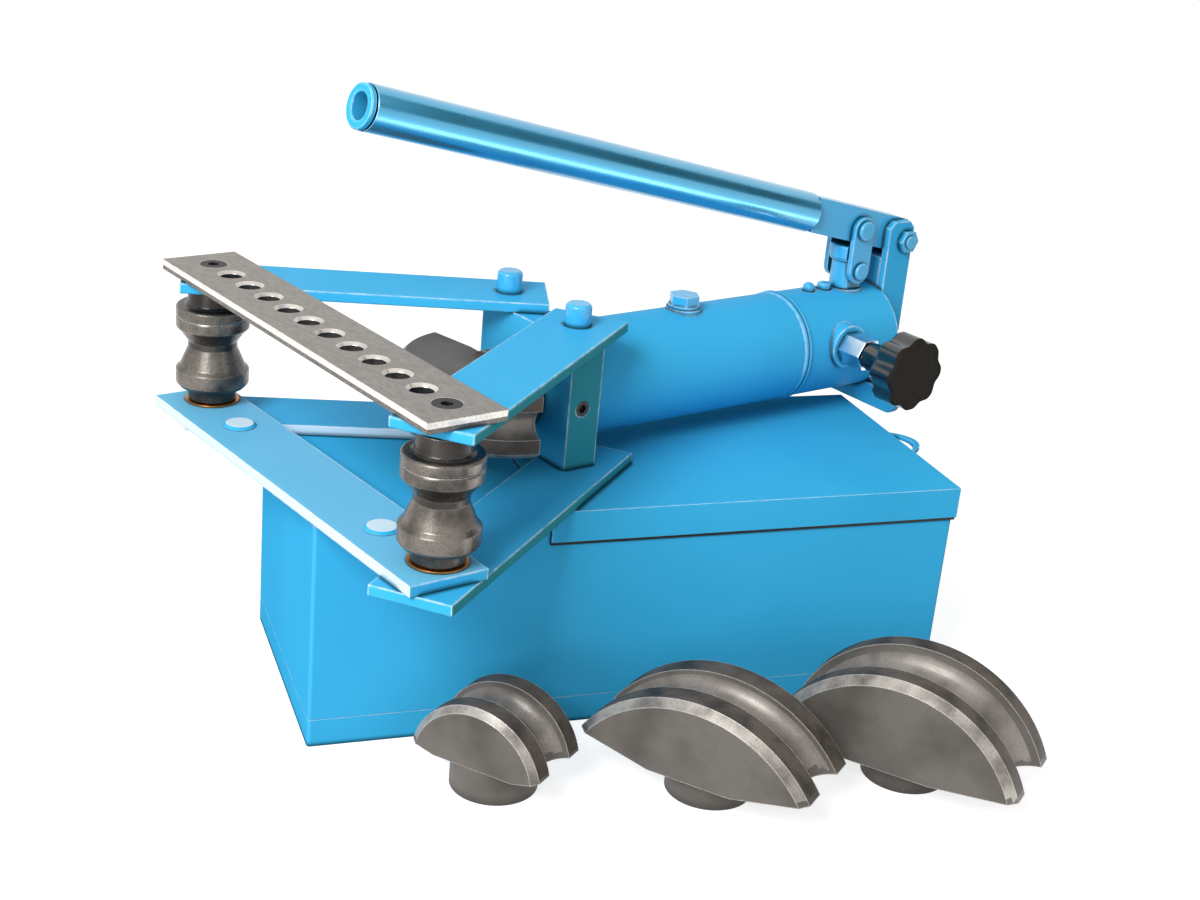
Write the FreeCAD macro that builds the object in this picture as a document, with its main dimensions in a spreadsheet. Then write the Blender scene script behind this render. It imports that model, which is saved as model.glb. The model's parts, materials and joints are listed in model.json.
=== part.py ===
import FreeCAD, Part
import math
import os
import Sketcher
from FreeCAD import Placement, Rotation, Vector

doc = FreeCAD.newDocument("TubeBender")
sheet = doc.addObject("Spreadsheet::Sheet", "sizes")

# Row frame: the origin is on the floor below the crosshead pins, +X runs back along the
# ram towards the pump, +Y to the left side, +Z up. Lengths in mm, angles in degrees.
SIZES = [
    # plates of the bending frame
    ("plate_thick", 8),
    ("plate_width", 60),
    ("frame_height", 178),
    ("hole_pitch", 30),
    ("strap_holes", 12),
    ("strap_margin", 25),
    ("roller_reach", 192),
    ("pin_spread", 45),
    ("bar_offset", 6.5),
    ("lower_right_margin", 40),
    ("lower_left_margin", 18),
    ("upper_margin", 22),
    ("lower_rear_margin", 46),
    ("upper_rear_margin", 30),
    ("lower_rear_drift", 8),
    ("plug_place", 105),
    ("plug_radius", 13),
    ("plug_height", 2.5),
    # crosshead, ram and cylinder
    ("crosshead_length", 120),
    ("crosshead_front", 13),
    ("crosshead_back", 16),
    ("crosshead_height", 102),
    ("crosshead_pin_radius", 10),
    ("pin_head_rise", 17),
    ("set_screw_radius", 6),
    ("ram_rise", 56),
    ("ram_radius", 21),
    ("ram_nose", 46),
    ("ram_back", 221),
    ("nose_chamfer", 3),
    ("piston_length", 20),
    ("seal_thick", 5),
    ("bore_radius", 28),
    ("liner_wall", 6),
    ("cylinder_radius", 45),
    ("cylinder_wall", 4),
    ("cylinder_back", 247),
    ("bush_radius", 24),
    ("wiper_length", 5),
    ("spring_wire", 4.5),
    ("filler_place", 142),
    ("filler_radius", 13),
    ("boss_rise", 1.5),
    # pump block and its fittings
    ("block_back", 353),
    ("bleed_place", 281),
    ("bleed_radius", 5),
    ("bleed_rise", 9),
    ("relief_place", 299),
    ("relief_radius", 6),
    ("relief_rise", 7.5),
    ("fitting_depth", 8),
    ("fitting_sink", 2),
    ("valve_place", 291),
    ("valve_rise", 7.5),
    ("valve_boss_face", 48),
    ("valve_depth", 25),
    ("valve_nut_across", 25),
    ("valve_nut_length", 12),
    ("spindle_radius", 5),
    ("knob_radius", 31),
    ("knob_length", 34),
    ("knob_face", 126),
    ("knob_lobes", 8),
    ("flute_radius", 16),
    ("flute_depth", 3),
    ("plunger_radius", 7),
    ("plunger_depth", 58),
    ("gland_radius", 9),
    ("gland_height", 9),
    ("sleeve_radius", 13.5),
    ("sleeve_wall", 4.2),
    ("sleeve_head", 7.9),
    ("cap_radius", 17),
    ("cap_clearance", 14.6),
    ("cap_slope_start", 6),
    ("cap_slope_drop", 8.7),
    ("lug_length", 29),
    ("lug_rise", 6),
    ("foot_thick", 8),
    ("foot_place", 337),
    ("foot_half", 66),
    ("foot_corner", 10),
    # lever and links
    ("fulcrum_place", 373.5),
    ("fulcrum_rise", 85.1),
    ("handle_angle", 14.06),
    ("fulcrum_plate_thick", 7),
    ("fulcrum_plate_head", 17.4),
    ("fulcrum_bolt_radius", 6),
    ("fulcrum_nut_thick", 5.5),
    ("fulcrum_bolt_tail", 2),
    ("lever_thick", 22),
    ("lever_depth", 30),
    ("lever_rise", 3),
    ("lever_reach", 110),
    ("shank_radius", 14),
    ("shank_length", 112),
    ("link_arm", 51.5),
    ("link_pin_rise", 7.1),
    ("link_width", 23),
    ("link_thick", 5),
    ("link_pin_radius", 5),
    ("link_head_thick", 3.5),
    ("link_slack", 1),
    ("handle_radius", 16.85),
    ("handle_wall", 2.75),
    ("handle_length", 443),
    # rollers and their pins
    ("roller_pin_radius", 8),
    ("roller_head_radius", 10.3),
    ("washer_radius", 24),
    ("washer_thick", 1.5),
    ("roller_neck_radius", 18.5),
    ("roller_disc_radius", 28),
    ("roller_waist_radius", 18.7),
    ("roller_height", 90),
    # formers: half chord, heights of crown, tips and stub joint, thickness, groove, place
    ("stub_radius", 32),
    ("former_yaw", 65.5),
    ("mounted_gap", 5),
    ("mounted_chord", 76),
    ("mounted_crown", 94),
    ("mounted_tip", 31),
    ("mounted_seat", 24),
    ("mounted_thick", 52),
    ("mounted_groove", 10.9),
    ("small_chord", 52),
    ("small_crown", 72.5),
    ("small_tip", 31),
    ("small_seat", 26),
    ("small_thick", 65),
    ("small_groove", 14),
    ("small_run", -125.4),
    ("small_side", -154),
    ("medium_chord", 90),
    ("medium_crown", 83.5),
    ("medium_tip", 35),
    ("medium_seat", 22),
    ("medium_thick", 80),
    ("medium_groove", 16),
    ("medium_run", 8),
    ("medium_side", -235.8),
    ("large_chord", 96),
    ("large_crown", 93.5),
    ("large_tip", 27.5),
    ("large_seat", 20),
    ("large_thick", 87),
    ("large_groove", 22),
    ("large_run", 152.9),
    ("large_side", -292.8),
    # case
    ("case_yaw", 17.9),
    ("case_length", 511),
    ("case_depth", 210),
    ("case_corner_back", 219),
    ("case_corner_side", 49),
    ("sheet_thick", 2),
    ("pan_height", 22),
    ("pan_lip", 10),
    ("deck_length", 174),
    ("deck_thick", 2.5),
    ("lid_gap", 1),
    ("lid_skirt", 25),
    ("lid_play", 0.4),
    ("pull_half", 33),
    ("pull_bow", 15),
    ("pull_band", 6),
    ("pull_shift", 6),
    ("deck_bolt_run", 75),
    ("deck_bolt_radius", 5),
    ("deck_nut_thick", 8),
    # clearances
    ("sliding_fit", 0.05),
    ("loose_fit", 0.3),
]
for row, (alias, value) in enumerate(SIZES, start=1):
    sheet.set(f"A{row}", str(value))
    sheet.setAlias(f"A{row}", alias)
doc.recompute()


# A size is a number that remembers the formula it came from, so that one line of
# arithmetic gives both the value and the expression that binds a feature to the sheet.
class Size(float):
    def __new__(cls, value, text):
        item = super().__new__(cls, value)
        item.text = text
        return item

    def __add__(self, other):
        return Size(float(self) + float(other), f"({self.text} + {text_of(other)})")

    def __radd__(self, other):
        return Size(float(other) + float(self), f"({text_of(other)} + {self.text})")

    def __sub__(self, other):
        return Size(float(self) - float(other), f"({self.text} - {text_of(other)})")

    def __rsub__(self, other):
        return Size(float(other) - float(self), f"({text_of(other)} - {self.text})")

    def __mul__(self, other):
        return Size(float(self) * float(other), f"({self.text} * {text_of(other)})")

    def __rmul__(self, other):
        return self * other

    def __truediv__(self, other):
        return Size(float(self) / float(other), f"({self.text} / {text_of(other)})")

    def __rtruediv__(self, other):
        return Size(float(other) / float(self), f"({text_of(other)} / {self.text})")

    def __neg__(self):
        return Size(-float(self), f"(0 - {self.text})")


def text_of(number):
    return number.text if isinstance(number, Size) else f"{float(number):.9g}"


def cosine(angle):
    return Size(math.cos(math.radians(angle)), f"cos({text_of(angle)})")


def sine(angle):
    return Size(math.sin(math.radians(angle)), f"sin({text_of(angle)})")


def root(number):
    return Size(math.sqrt(number), f"sqrt({text_of(number)})")


def angle_of(rise, run):
    return Size(math.degrees(math.atan(rise / run)), f"(atan({text_of(rise / run)}) / 1 deg)")


class Sheet:
    def __getattr__(self, alias):
        return Size(sheet.get(alias), f"sizes.{alias}")


dim = Sheet()

# levels of the stacked plates, worked out from the frame's height
lower_arm_level = dim.frame_height
cross_bar_level = dim.frame_height + dim.plate_thick
upper_arm_level = cross_bar_level + dim.crosshead_height
strap_level = upper_arm_level + dim.plate_thick
frame_top = strap_level + dim.plate_thick
roller_spread = dim.hole_pitch * (dim.strap_holes - 1) / 2
arm_rise = roller_spread - dim.pin_spread
arm_run = root(dim.roller_reach * dim.roller_reach + arm_rise * arm_rise)
arm_turn = angle_of(arm_rise, dim.roller_reach)


def new_body(label):
    return doc.addObject("PartDesign::Body", label)


def place(item, x=0, y=0, z=0, axis=None, angle=0):
    if axis is not None:
        item.Placement = Placement(Vector(0, 0, 0), Rotation(Vector(*axis), float(angle)))
        if isinstance(angle, Size):
            item.setExpression(".Placement.Rotation.Angle", angle.text)
    for name, value in (("x", x), ("y", y), ("z", z)):
        if isinstance(value, Size):
            item.setExpression(f".Placement.Base.{name}", value.text)
    item.Placement.Base = Vector(float(x), float(y), float(z))
    return item


def new_sketch(body, role, lift=0):
    sketch = body.newObject("Sketcher::SketchObject", f"{body.Name}_sketch")
    plane = [item for item in body.Origin.OriginFeatures if item.Role == role][0]
    sketch.AttachmentSupport = [(plane, "")]
    sketch.MapMode = "FlatFace"
    if isinstance(lift, Size):
        sketch.setExpression(".AttachmentOffset.Base.z", lift.text)
    sketch.AttachmentOffset = Placement(Vector(0, 0, float(lift)), Rotation())
    return sketch


def bind(sketch, kind, *items, value):
    index = sketch.addConstraint(Sketcher.Constraint(kind, *items, float(value)))
    if isinstance(value, Size):
        sketch.setExpression(f"Constraints[{index}]", value.text)


def fix_point(sketch, edge, end, x, y):
    if not isinstance(x, Size) and x == 0:
        sketch.addConstraint(Sketcher.Constraint("PointOnObject", edge, end, -2))
    else:
        bind(sketch, "DistanceX", -1, 1, edge, end, value=x)
    if not isinstance(y, Size) and y == 0:
        sketch.addConstraint(Sketcher.Constraint("PointOnObject", edge, end, -1))
    else:
        bind(sketch, "DistanceY", -1, 1, edge, end, value=y)


# An outline is a closed ring of corners. A corner written (x, y, radius) is joined to the
# next one by an arc: a positive radius turns to the left, a negative one to the right.
def outline(sketch, corners):
    first = sketch.GeometryCount
    count = len(corners)
    for number, corner in enumerate(corners):
        following = corners[(number + 1) % count]
        start = Vector(float(corner[0]), float(corner[1]), 0)
        end = Vector(float(following[0]), float(following[1]), 0)
        if len(corner) == 2:
            sketch.addGeometry(Part.LineSegment(start, end), False)
            continue
        radius = abs(float(corner[2]))
        chord = end - start
        side = Vector(-chord.y, chord.x, 0).normalize()
        sag = math.sqrt(max(radius * radius - chord.Length * chord.Length / 4, 0))
        turn = 1 if float(corner[2]) > 0 else -1
        centre = (start + end) / 2 + side * sag * turn
        middle = centre - side * radius * turn
        sketch.addGeometry(Part.Arc(start, middle, end), False)
    for number in range(count):
        edge = first + number
        following = first + (number + 1) % count
        # an arc that runs clockwise is stored from its end to its start
        tail = 2 if len(corners[number]) == 2 or float(corners[number][2]) > 0 else 1
        after = corners[(number + 1) % count]
        head = 1 if len(after) == 2 or float(after[2]) > 0 else 2
        sketch.addConstraint(Sketcher.Constraint("Coincident", edge, tail, following, head))
    for number, corner in enumerate(corners):
        head = 1 if len(corner) == 2 or float(corner[2]) > 0 else 2
        fix_point(sketch, first + number, head, corner[0], corner[1])
        if len(corner) == 2:
            continue
        after = corners[(number + 1) % count]
        across, up = after[0] - corner[0], after[1] - corner[1]
        if math.hypot(across, up) < 2 * abs(corner[2]) - 1e-6:
            bind(sketch, "Radius", first + number, value=corner[2] if corner[2] > 0 else -corner[2])
        elif abs(across) > abs(up):
            bind(sketch, "DistanceY", -1, 1, first + number, 3, value=(corner[1] + after[1]) / 2)
        else:
            bind(sketch, "DistanceX", -1, 1, first + number, 3, value=(corner[0] + after[0]) / 2)


def ring(sketch, x, y, radius):
    centre = Vector(float(x), float(y), 0)
    circle = sketch.addGeometry(Part.Circle(centre, Vector(0, 0, 1), float(radius)), False)
    fix_point(sketch, circle, 3, x, y)
    bind(sketch, "Radius", circle, value=radius)


def pad(body, sketch, length, middle=False, back=False):
    feature = body.newObject("PartDesign::Pad", f"{body.Name}_pad")
    feature.Profile = sketch
    feature.SideType = "Symmetric" if middle else "One side"
    feature.Reversed = back
    feature.Length = float(length)
    if isinstance(length, Size):
        feature.setExpression("Length", length.text)
    return feature


def pocket(body, sketch, length=None, middle=False, back=False):
    feature = body.newObject("PartDesign::Pocket", f"{body.Name}_pocket")
    feature.Profile = sketch
    feature.SideType = "Symmetric" if middle else "One side"
    feature.Reversed = back
    if length is None:
        feature.Type = "ThroughAll"
    else:
        feature.Length = float(length)
        if isinstance(length, Size):
            feature.setExpression("Length", length.text)
    return feature


def turned(label, corners, role="XZ_Plane", axis="V_Axis"):
    body = new_body(label)
    sketch = new_sketch(body, role)
    outline(sketch, corners)
    feature = body.newObject("PartDesign::Revolution", f"{label}_turn")
    feature.Profile = sketch
    feature.ReferenceAxis = (sketch, [axis])
    feature.Angle = 360
    return body


def drill(body, role, x, y, radius, length=None, lift=0, middle=False, back=False):
    sketch = new_sketch(body, role, lift)
    ring(sketch, x, y, radius)
    return pocket(body, sketch, length, middle, back)


def turned_cut(body, corners, role="XZ_Plane", axis="V_Axis"):
    sketch = new_sketch(body, role)
    outline(sketch, corners)
    feature = body.newObject("PartDesign::Groove", f"{body.Name}_cut")
    feature.Profile = sketch
    feature.ReferenceAxis = (sketch, [axis])
    feature.Angle = 360
    return feature


def box_corners(left, right, bottom, top):
    return [(left, bottom), (right, bottom), (right, top), (left, top)]


def hexagon(across):
    corner = across / math.sqrt(3)
    half = across / 2
    return [(corner, 0), (corner / 2, half), (-corner / 2, half), (-corner, 0), (-corner / 2, -half),
            (corner / 2, -half)]


def polar(body, feature, sketch, axis, count):
    pattern = body.newObject("PartDesign::PolarPattern", f"{body.Name}_pattern")
    pattern.Originals = [feature]
    pattern.Axis = (sketch, [axis])
    pattern.Angle = 360
    pattern.Occurrences = int(count)
    pattern.setExpression("Occurrences", count.text)
    body.Tip = pattern
    return pattern


def mirrored(label, source):
    twin = doc.addObject("Part::Mirroring", label)
    twin.Source = source
    twin.Normal = Vector(0, 1, 0)
    return twin


def pair(label, source):
    group = doc.addObject("Part::Compound", label)
    group.Links = [source, mirrored(f"{source.Name}_twin", source)]
    return group


# Bending frame: each arm is flat bar, square-cut, drawn along its own centre line from the
# crosshead pin to the roller pin and then turned outwards. The lower arms stand a little
# further out at the back, by the drift.
def arm(label, level, side, front, rear, drift=0, bolt_hole=None):
    body = new_body(label)
    sketch = new_sketch(body, "XY_Plane")
    half = dim.plate_width / 2
    tip = arm_run + front
    out = -side * drift
    outline(sketch, [(-rear, out - half), (tip, -half), (tip, half), (-rear, out + half)])
    ring(sketch, 0, 0, dim.crosshead_pin_radius + dim.sliding_fit)
    ring(sketch, arm_run, 0, dim.roller_pin_radius + dim.sliding_fit)
    if bolt_hole is not None:
        ring(sketch, dim.deck_bolt_run, 0, bolt_hole)
    pad(body, sketch, dim.plate_thick)
    return place(body, 0, side * dim.pin_spread, level, (0, 0, 1), 180 - side * arm_turn)


def flat_bar(label, level, offset=0):
    body = new_body(label)
    sketch = new_sketch(body, "XY_Plane")
    half = dim.plate_width / 2
    run = dim.hole_pitch * (dim.strap_holes - 1)
    outline(sketch, box_corners(-half - offset, half - offset, -dim.strap_margin, run + dim.strap_margin))
    pad(body, sketch, dim.plate_thick)
    return place(body, -dim.roller_reach, -roller_spread, level), sketch


def top_strap():
    body, base = flat_bar("top_strap", strap_level)
    sink = dim.roller_head_radius + dim.loose_fit
    over = dim.plate_thick * 1.1
    under = -dim.plate_thick / 10
    hole = turned_cut(body, [(0, under), (pin_play, under), (pin_play, dim.plate_thick - (sink - pin_play)),
                             (sink, dim.plate_thick), (sink, over), (0, over)])
    row = body.newObject("PartDesign::LinearPattern", "top_strap_holes")
    row.Originals = [hole]
    row.Direction = (base, ["V_Axis"])
    run = dim.hole_pitch * (dim.strap_holes - 1)
    row.Length = float(run)
    row.setExpression("Length", run.text)
    row.Occurrences = int(dim.strap_holes)
    row.setExpression("Occurrences", dim.strap_holes.text)
    body.Tip = row


def cross_bar():
    body = flat_bar("cross_bar", cross_bar_level, dim.bar_offset)[0]
    for side in (-1, 1):
        drill(body, "XY_Plane", 0, roller_spread + side * roller_spread, pin_play, back=True)
        drill(body, "XY_Plane", -dim.bar_offset, roller_spread + side * dim.plug_place, pin_play, back=True)


def bar_plugs():
    flank = dim.plug_radius - dim.plug_height
    plug = turned("bar_plug", [(0, -dim.plate_thick), (pin_play, -dim.plate_thick), (pin_play, 0),
                               (dim.plug_radius, 0), (flank, dim.plug_height), (0, dim.plug_height)])
    place(plug, -dim.roller_reach - dim.bar_offset, -dim.plug_place, cross_bar_level + dim.plate_thick)
    return pair("bar_plugs", plug)


def crosshead():
    body = new_body("crosshead")
    sketch = new_sketch(body, "XY_Plane")
    half = dim.crosshead_length / 2
    outline(sketch, box_corners(-dim.crosshead_front, dim.crosshead_back, -half, half))
    pad(body, sketch, dim.crosshead_height)
    axis_level = ram_level - crosshead_level
    drill(body, "YZ_Plane", 0, axis_level, dim.bush_radius, middle=True)
    for turn in (-1, 1):
        drill(body, "XY_Plane", 0, turn * dim.pin_spread, dim.crosshead_pin_radius + dim.sliding_fit,
              back=True)
        drill(body, "XZ_Plane", 0, axis_level, dim.set_screw_radius,
              dim.crosshead_length / 2 - dim.pin_spread, lift=turn * half, back=turn < 0)
    return place(body, z=crosshead_level)


def crosshead_screws():
    gap = dim.crosshead_length / 2 - dim.pin_spread - dim.crosshead_pin_radius - dim.loose_fit
    screw = turned("crosshead_screw", [(0, 0), (dim.set_screw_radius, 0), (dim.set_screw_radius, gap),
                                       (0, gap)])
    socket = new_sketch(screw, "XY_Plane", gap)
    outline(socket, hexagon(dim.set_screw_radius))
    pocket(screw, socket, gap * 0.8)
    place(screw, 0, -(dim.crosshead_length / 2 - gap), ram_level, (1, 0, 0), 90)
    return pair("crosshead_screws", screw)


def crosshead_pin():
    low = lower_arm_level + dim.loose_fit
    top = upper_arm_level + dim.plate_thick + dim.pin_head_rise - low
    radius = dim.crosshead_pin_radius
    bevel = radius / 5
    pin = turned("crosshead_pin_right", [(0, 0), (radius - bevel, 0), (radius, bevel),
                                         (radius, top - bevel), (radius - bevel, top), (0, top)])
    place(pin, 0, -dim.pin_spread, low)
    mirrored("crosshead_pin_left", pin)


# Ram, its guide in the crosshead, and the single-acting cylinder behind it
def cylinder_parts():
    front = dim.crosshead_back
    bore = dim.ram_radius + dim.sliding_fit
    x_axis = dict(axis=(0, 1, 0), angle=90)
    wiper = turned("rod_wiper", box_corners(bore, dim.bush_radius, 0, dim.wiper_length))
    place(wiper, -dim.crosshead_front, 0, ram_level, **x_axis)
    bush_length = dim.crosshead_front + dim.crosshead_back - dim.wiper_length
    bush = turned("rod_guide_bush", box_corners(bore, dim.bush_radius, 0, bush_length))
    place(bush, dim.wiper_length - dim.crosshead_front, 0, ram_level, **x_axis)

    run = dim.cylinder_back - front
    liner = turned("pressure_cylinder", box_corners(dim.bore_radius, dim.bore_radius + dim.liner_wall, 0,
                                                    run))
    place(liner, front, 0, ram_level, **x_axis)

    inner = dim.cylinder_radius - dim.cylinder_wall
    bead = dim.cylinder_wall / 2
    outer = dim.cylinder_radius
    shell = turned("reservoir_tube", [(inner, 0), (outer, 0), (outer, run - 2 * bead, 1.25 * bead),
                                      (outer, run), (inner, run)])
    # filler boss: a short collar on top of the tube with the threaded filler hole through it
    boss = new_sketch(shell, "YZ_Plane", -boss_top)
    boss_place = dim.filler_place - front
    ring(boss, 0, boss_place, dim.filler_radius + dim.boss_rise)
    pad(shell, boss, boss_top - inner)
    drill(shell, "YZ_Plane", 0, boss_place, filler_shank, boss_top - inner + dim.cylinder_wall,
          lift=-boss_top, back=True)
    place(shell, front, 0, ram_level, **x_axis)


def filler_plug():
    radius = dim.filler_radius
    collar = radius / 5
    depth = radius * 0.75
    plug = turned("filler_plug", [(0, -depth), (filler_shank, -depth), (filler_shank, 0), (radius, 0),
                                  (radius, collar), (0, collar)])
    head = new_sketch(plug, "XY_Plane", collar)
    outline(head, hexagon(radius * 1.7))
    pad(plug, head, radius * 0.6)
    turned_cut(plug, [(radius * 0.75, radius * 0.92), (radius * 1.5, radius * 0.92),
                      (radius * 1.5, radius / 2)])
    place(plug, dim.filler_place, 0, ram_level + boss_top)


def ram_parts():
    front = dim.ram_nose
    run = dim.ram_nose + dim.ram_back
    bevel = dim.nose_chamfer
    neck = dim.ram_radius / 2
    shoulder = run - dim.piston_length
    rod = turned("ram_rod", [(0, 0), (dim.ram_radius - bevel, 0), (dim.ram_radius, bevel),
                             (dim.ram_radius, shoulder), (neck, shoulder), (neck, run), (0, run)])
    place(rod, -front, 0, ram_level, (0, 1, 0), 90)

    land = dim.bore_radius - dim.sliding_fit
    groove = land - dim.seal_thick * 0.8
    middle = (dim.piston_length - dim.seal_thick) / 2
    piston = turned("ram_piston", [(neck, 0), (land, 0), (land, middle), (groove, middle),
                                   (groove, middle + dim.seal_thick), (land, middle + dim.seal_thick),
                                   (land, dim.piston_length), (neck, dim.piston_length)])
    start = dim.ram_back - dim.piston_length
    place(piston, start, 0, ram_level, (0, 1, 0), 90)
    seal = turned("piston_seal", box_corners(groove, land, 0, dim.seal_thick))
    place(seal, start + middle, 0, ram_level, (0, 1, 0), 90)

    # return spring between the guide bush and the piston, drawn as its wound envelope
    seat = dim.crosshead_back
    room = (dim.bore_radius - dim.ram_radius - dim.spring_wire) / 2
    inside = dim.ram_radius + room
    spring = turned("return_spring", box_corners(inside, inside + dim.spring_wire, 0, start - seat))
    place(spring, seat, 0, ram_level, (0, 1, 0), 90)


# Pump block: the round steel end of the cylinder, bored for the pump plunger from above and
# for the release valve from the right, with a lug behind it between the fulcrum plates
def pump_block():
    body = new_body("pump_block")
    round_face = new_sketch(body, "YZ_Plane", dim.cylinder_back)
    ring(round_face, 0, 0, dim.cylinder_radius)
    pad(body, round_face, dim.block_back - dim.cylinder_back)
    lug = new_sketch(body, "YZ_Plane", dim.block_back)
    half = dim.lever_thick / 2 + plate_gap
    outline(lug, box_corners(-half, half, dim.lug_rise, lug_top - ram_level))
    pad(body, lug, dim.lug_length)
    pump_boss = new_sketch(body, "XY_Plane", dim.cylinder_radius)
    ring(pump_boss, plunger_place, 0, dim.sleeve_radius * 1.15)
    pad(body, pump_boss, dim.cylinder_radius / 2, back=True)
    valve_boss = new_sketch(body, "XZ_Plane", dim.valve_boss_face)
    ring(valve_boss, dim.valve_place, dim.valve_rise, dim.valve_nut_across * 0.75)
    pad(body, valve_boss, dim.cylinder_radius / 2, back=True)
    drill(body, "XY_Plane", plunger_place, 0, dim.plunger_radius + dim.sliding_fit, dim.plunger_depth,
          lift=dim.cylinder_radius)
    drill(body, "XZ_Plane", dim.valve_place, dim.valve_rise, dim.spindle_radius + dim.sliding_fit,
          dim.valve_depth, lift=dim.valve_boss_face)
    bore_depth = dim.fitting_sink + dim.fitting_depth * 1.25
    for spot, radius in ((dim.bleed_place, dim.bleed_radius), (dim.relief_place, dim.relief_radius)):
        drill(body, "XY_Plane", spot, 0, radius * 1.2, dim.fitting_sink, lift=dim.cylinder_radius)
        drill(body, "XY_Plane", spot, 0, radius / 2, bore_depth, lift=dim.cylinder_radius)
    place(body, z=ram_level)


def block_fittings():
    seat = block_top - dim.fitting_sink
    low = -dim.fitting_depth
    radius = dim.bleed_radius
    rise = dim.bleed_rise
    bleed = turned("bleed_screw", [(0, low), (radius / 2, low), (radius / 2, 0), (radius, 0),
                                   (radius, rise - radius / 2), (radius / 2, rise), (0, rise)])
    place(bleed, dim.bleed_place, 0, seat)
    radius = dim.relief_radius
    rise = dim.relief_rise
    bevel = radius / 4
    relief = turned("relief_valve_cap", [(0, low), (radius / 2, low), (radius / 2, 0), (radius, 0),
                                         (radius, rise - bevel), (radius - bevel, rise), (0, rise)])
    place(relief, dim.relief_place, 0, seat)
    gland = turned("pump_gland", box_corners(dim.plunger_radius + dim.sliding_fit, dim.gland_radius, 0,
                                             dim.gland_height))
    place(gland, plunger_place, 0, block_top)


# The foot is a wide plate cut to sit round the block's underside, just above the lid
def rear_foot():
    body = new_body("rear_foot")
    sketch = new_sketch(body, "YZ_Plane")
    low = dim.frame_height + dim.loose_fit - ram_level
    corner = dim.foot_corner
    half = dim.foot_half
    outline(sketch, [(corner - half, low), (half - corner, low, corner), (half, low + corner),
                     (half - corner, low + 2 * corner), (corner - half, low + 2 * corner),
                     (-half, low + corner, corner)])
    pad(body, sketch, dim.foot_thick)
    drill(body, "YZ_Plane", 0, 0, dim.cylinder_radius, back=True)
    place(body, dim.foot_place, 0, ram_level)


def release_valve():
    gland = new_body("release_gland")
    sketch = new_sketch(gland, "XY_Plane")
    outline(sketch, hexagon(dim.valve_nut_across))
    ring(sketch, 0, 0, dim.spindle_radius + dim.sliding_fit)
    pad(gland, sketch, dim.valve_nut_length)
    place(gland, dim.valve_place, -dim.valve_boss_face, valve_level, (1, 0, 0), 90)

    inner = dim.valve_boss_face - dim.valve_depth + dim.loose_fit
    run = dim.knob_face - dim.knob_length / 2 - inner
    radius = dim.spindle_radius
    spindle = turned("release_spindle", [(0, 0), (radius / 2, 0), (radius, radius), (radius, run),
                                         (0, run)])
    place(spindle, dim.valve_place, -inner, valve_level, (1, 0, 0), 90)

    knob_radius = dim.knob_radius
    length = dim.knob_length
    round_edge = knob_radius / 8
    hub = knob_radius / 2
    knob = turned("release_knob", [(radius, 0), (hub, 0), (hub, length / 4),
                                   (knob_radius - round_edge, length / 4),
                                   (knob_radius, length / 4 + round_edge),
                                   (knob_radius, length - round_edge), (knob_radius - round_edge, length),
                                   (0, length), (0, length / 2), (radius, length / 2)])
    flute = new_sketch(knob, "XY_Plane", length)
    ring(flute, knob_radius - dim.flute_depth + dim.flute_radius, 0, dim.flute_radius)
    cut = pocket(knob, flute, length)
    polar(knob, cut, flute, "N_Axis", dim.knob_lobes)
    place(knob, dim.valve_place, -(dim.knob_face - length), valve_level, (1, 0, 0), 90)


# Pump lever: two plates hold the fulcrum bolt, two links hang from the lever's pin and lift
# the plunger sleeve
def fulcrum_parts():
    plate = new_body("fulcrum_plate_right")
    sketch = new_sketch(plate, "XZ_Plane")
    front = dim.block_back
    back = front + dim.lug_length
    bottom = ram_level + dim.lug_rise / 3
    top = fulcrum_level + dim.fulcrum_plate_head
    cut = dim.lug_length / 5
    outline(sketch, [(front, bottom), (back, bottom), (back, top - cut), (back - cut, top),
                     (front + cut, top), (front, top - cut)])
    ring(sketch, dim.fulcrum_place, fulcrum_level, dim.fulcrum_bolt_radius)
    pad(plate, sketch, dim.fulcrum_plate_thick)
    place(plate, 0, -plate_inside)
    mirrored("fulcrum_plate_left", plate)

    outside = plate_inside + dim.fulcrum_plate_thick
    radius = dim.fulcrum_bolt_radius
    head = radius * 1.55
    nut_thick = dim.fulcrum_nut_thick
    tail = nut_thick + dim.fulcrum_bolt_tail
    run = 2 * outside + tail
    head_thick = radius * 1.15
    bevel = radius / 3
    bolt = turned("fulcrum_bolt", [(0, 0), (radius, 0), (radius, run), (head, run),
                                   (head, run + head_thick - bevel), (head - bevel, run + head_thick),
                                   (0, run + head_thick)])
    place(bolt, dim.fulcrum_place, -outside - tail, fulcrum_level, (1, 0, 0), -90)
    nut = new_body("fulcrum_nut")
    shape = new_sketch(nut, "XY_Plane")
    outline(shape, hexagon(3 * radius))
    ring(shape, 0, 0, radius)
    pad(nut, shape, nut_thick)
    place(nut, dim.fulcrum_place, -outside, fulcrum_level, (1, 0, 0), 90)


# Lever drawn with its local Z along the handle, from the fulcrum forwards
def lever_bar():
    body = new_body("lever_bar")
    side = new_sketch(body, "XZ_Plane")
    half = dim.lever_depth / 2
    low, high = dim.lever_rise - half, dim.lever_rise + half
    outline(side, [(low, 0, half), (high, 0), (high, dim.lever_reach), (low, dim.lever_reach)])
    ring(side, 0, 0, dim.fulcrum_bolt_radius + dim.sliding_fit)
    ring(side, 0, dim.link_arm, dim.link_pin_radius)
    pad(body, side, dim.lever_thick, middle=True)
    shank = new_sketch(body, "XY_Plane", dim.lever_reach)
    ring(shank, dim.lever_rise, 0, dim.shank_radius)
    pad(body, shank, dim.shank_length)
    place(body, dim.fulcrum_place, 0, fulcrum_level, (0, 1, 0), dim.handle_angle - 90)


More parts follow.
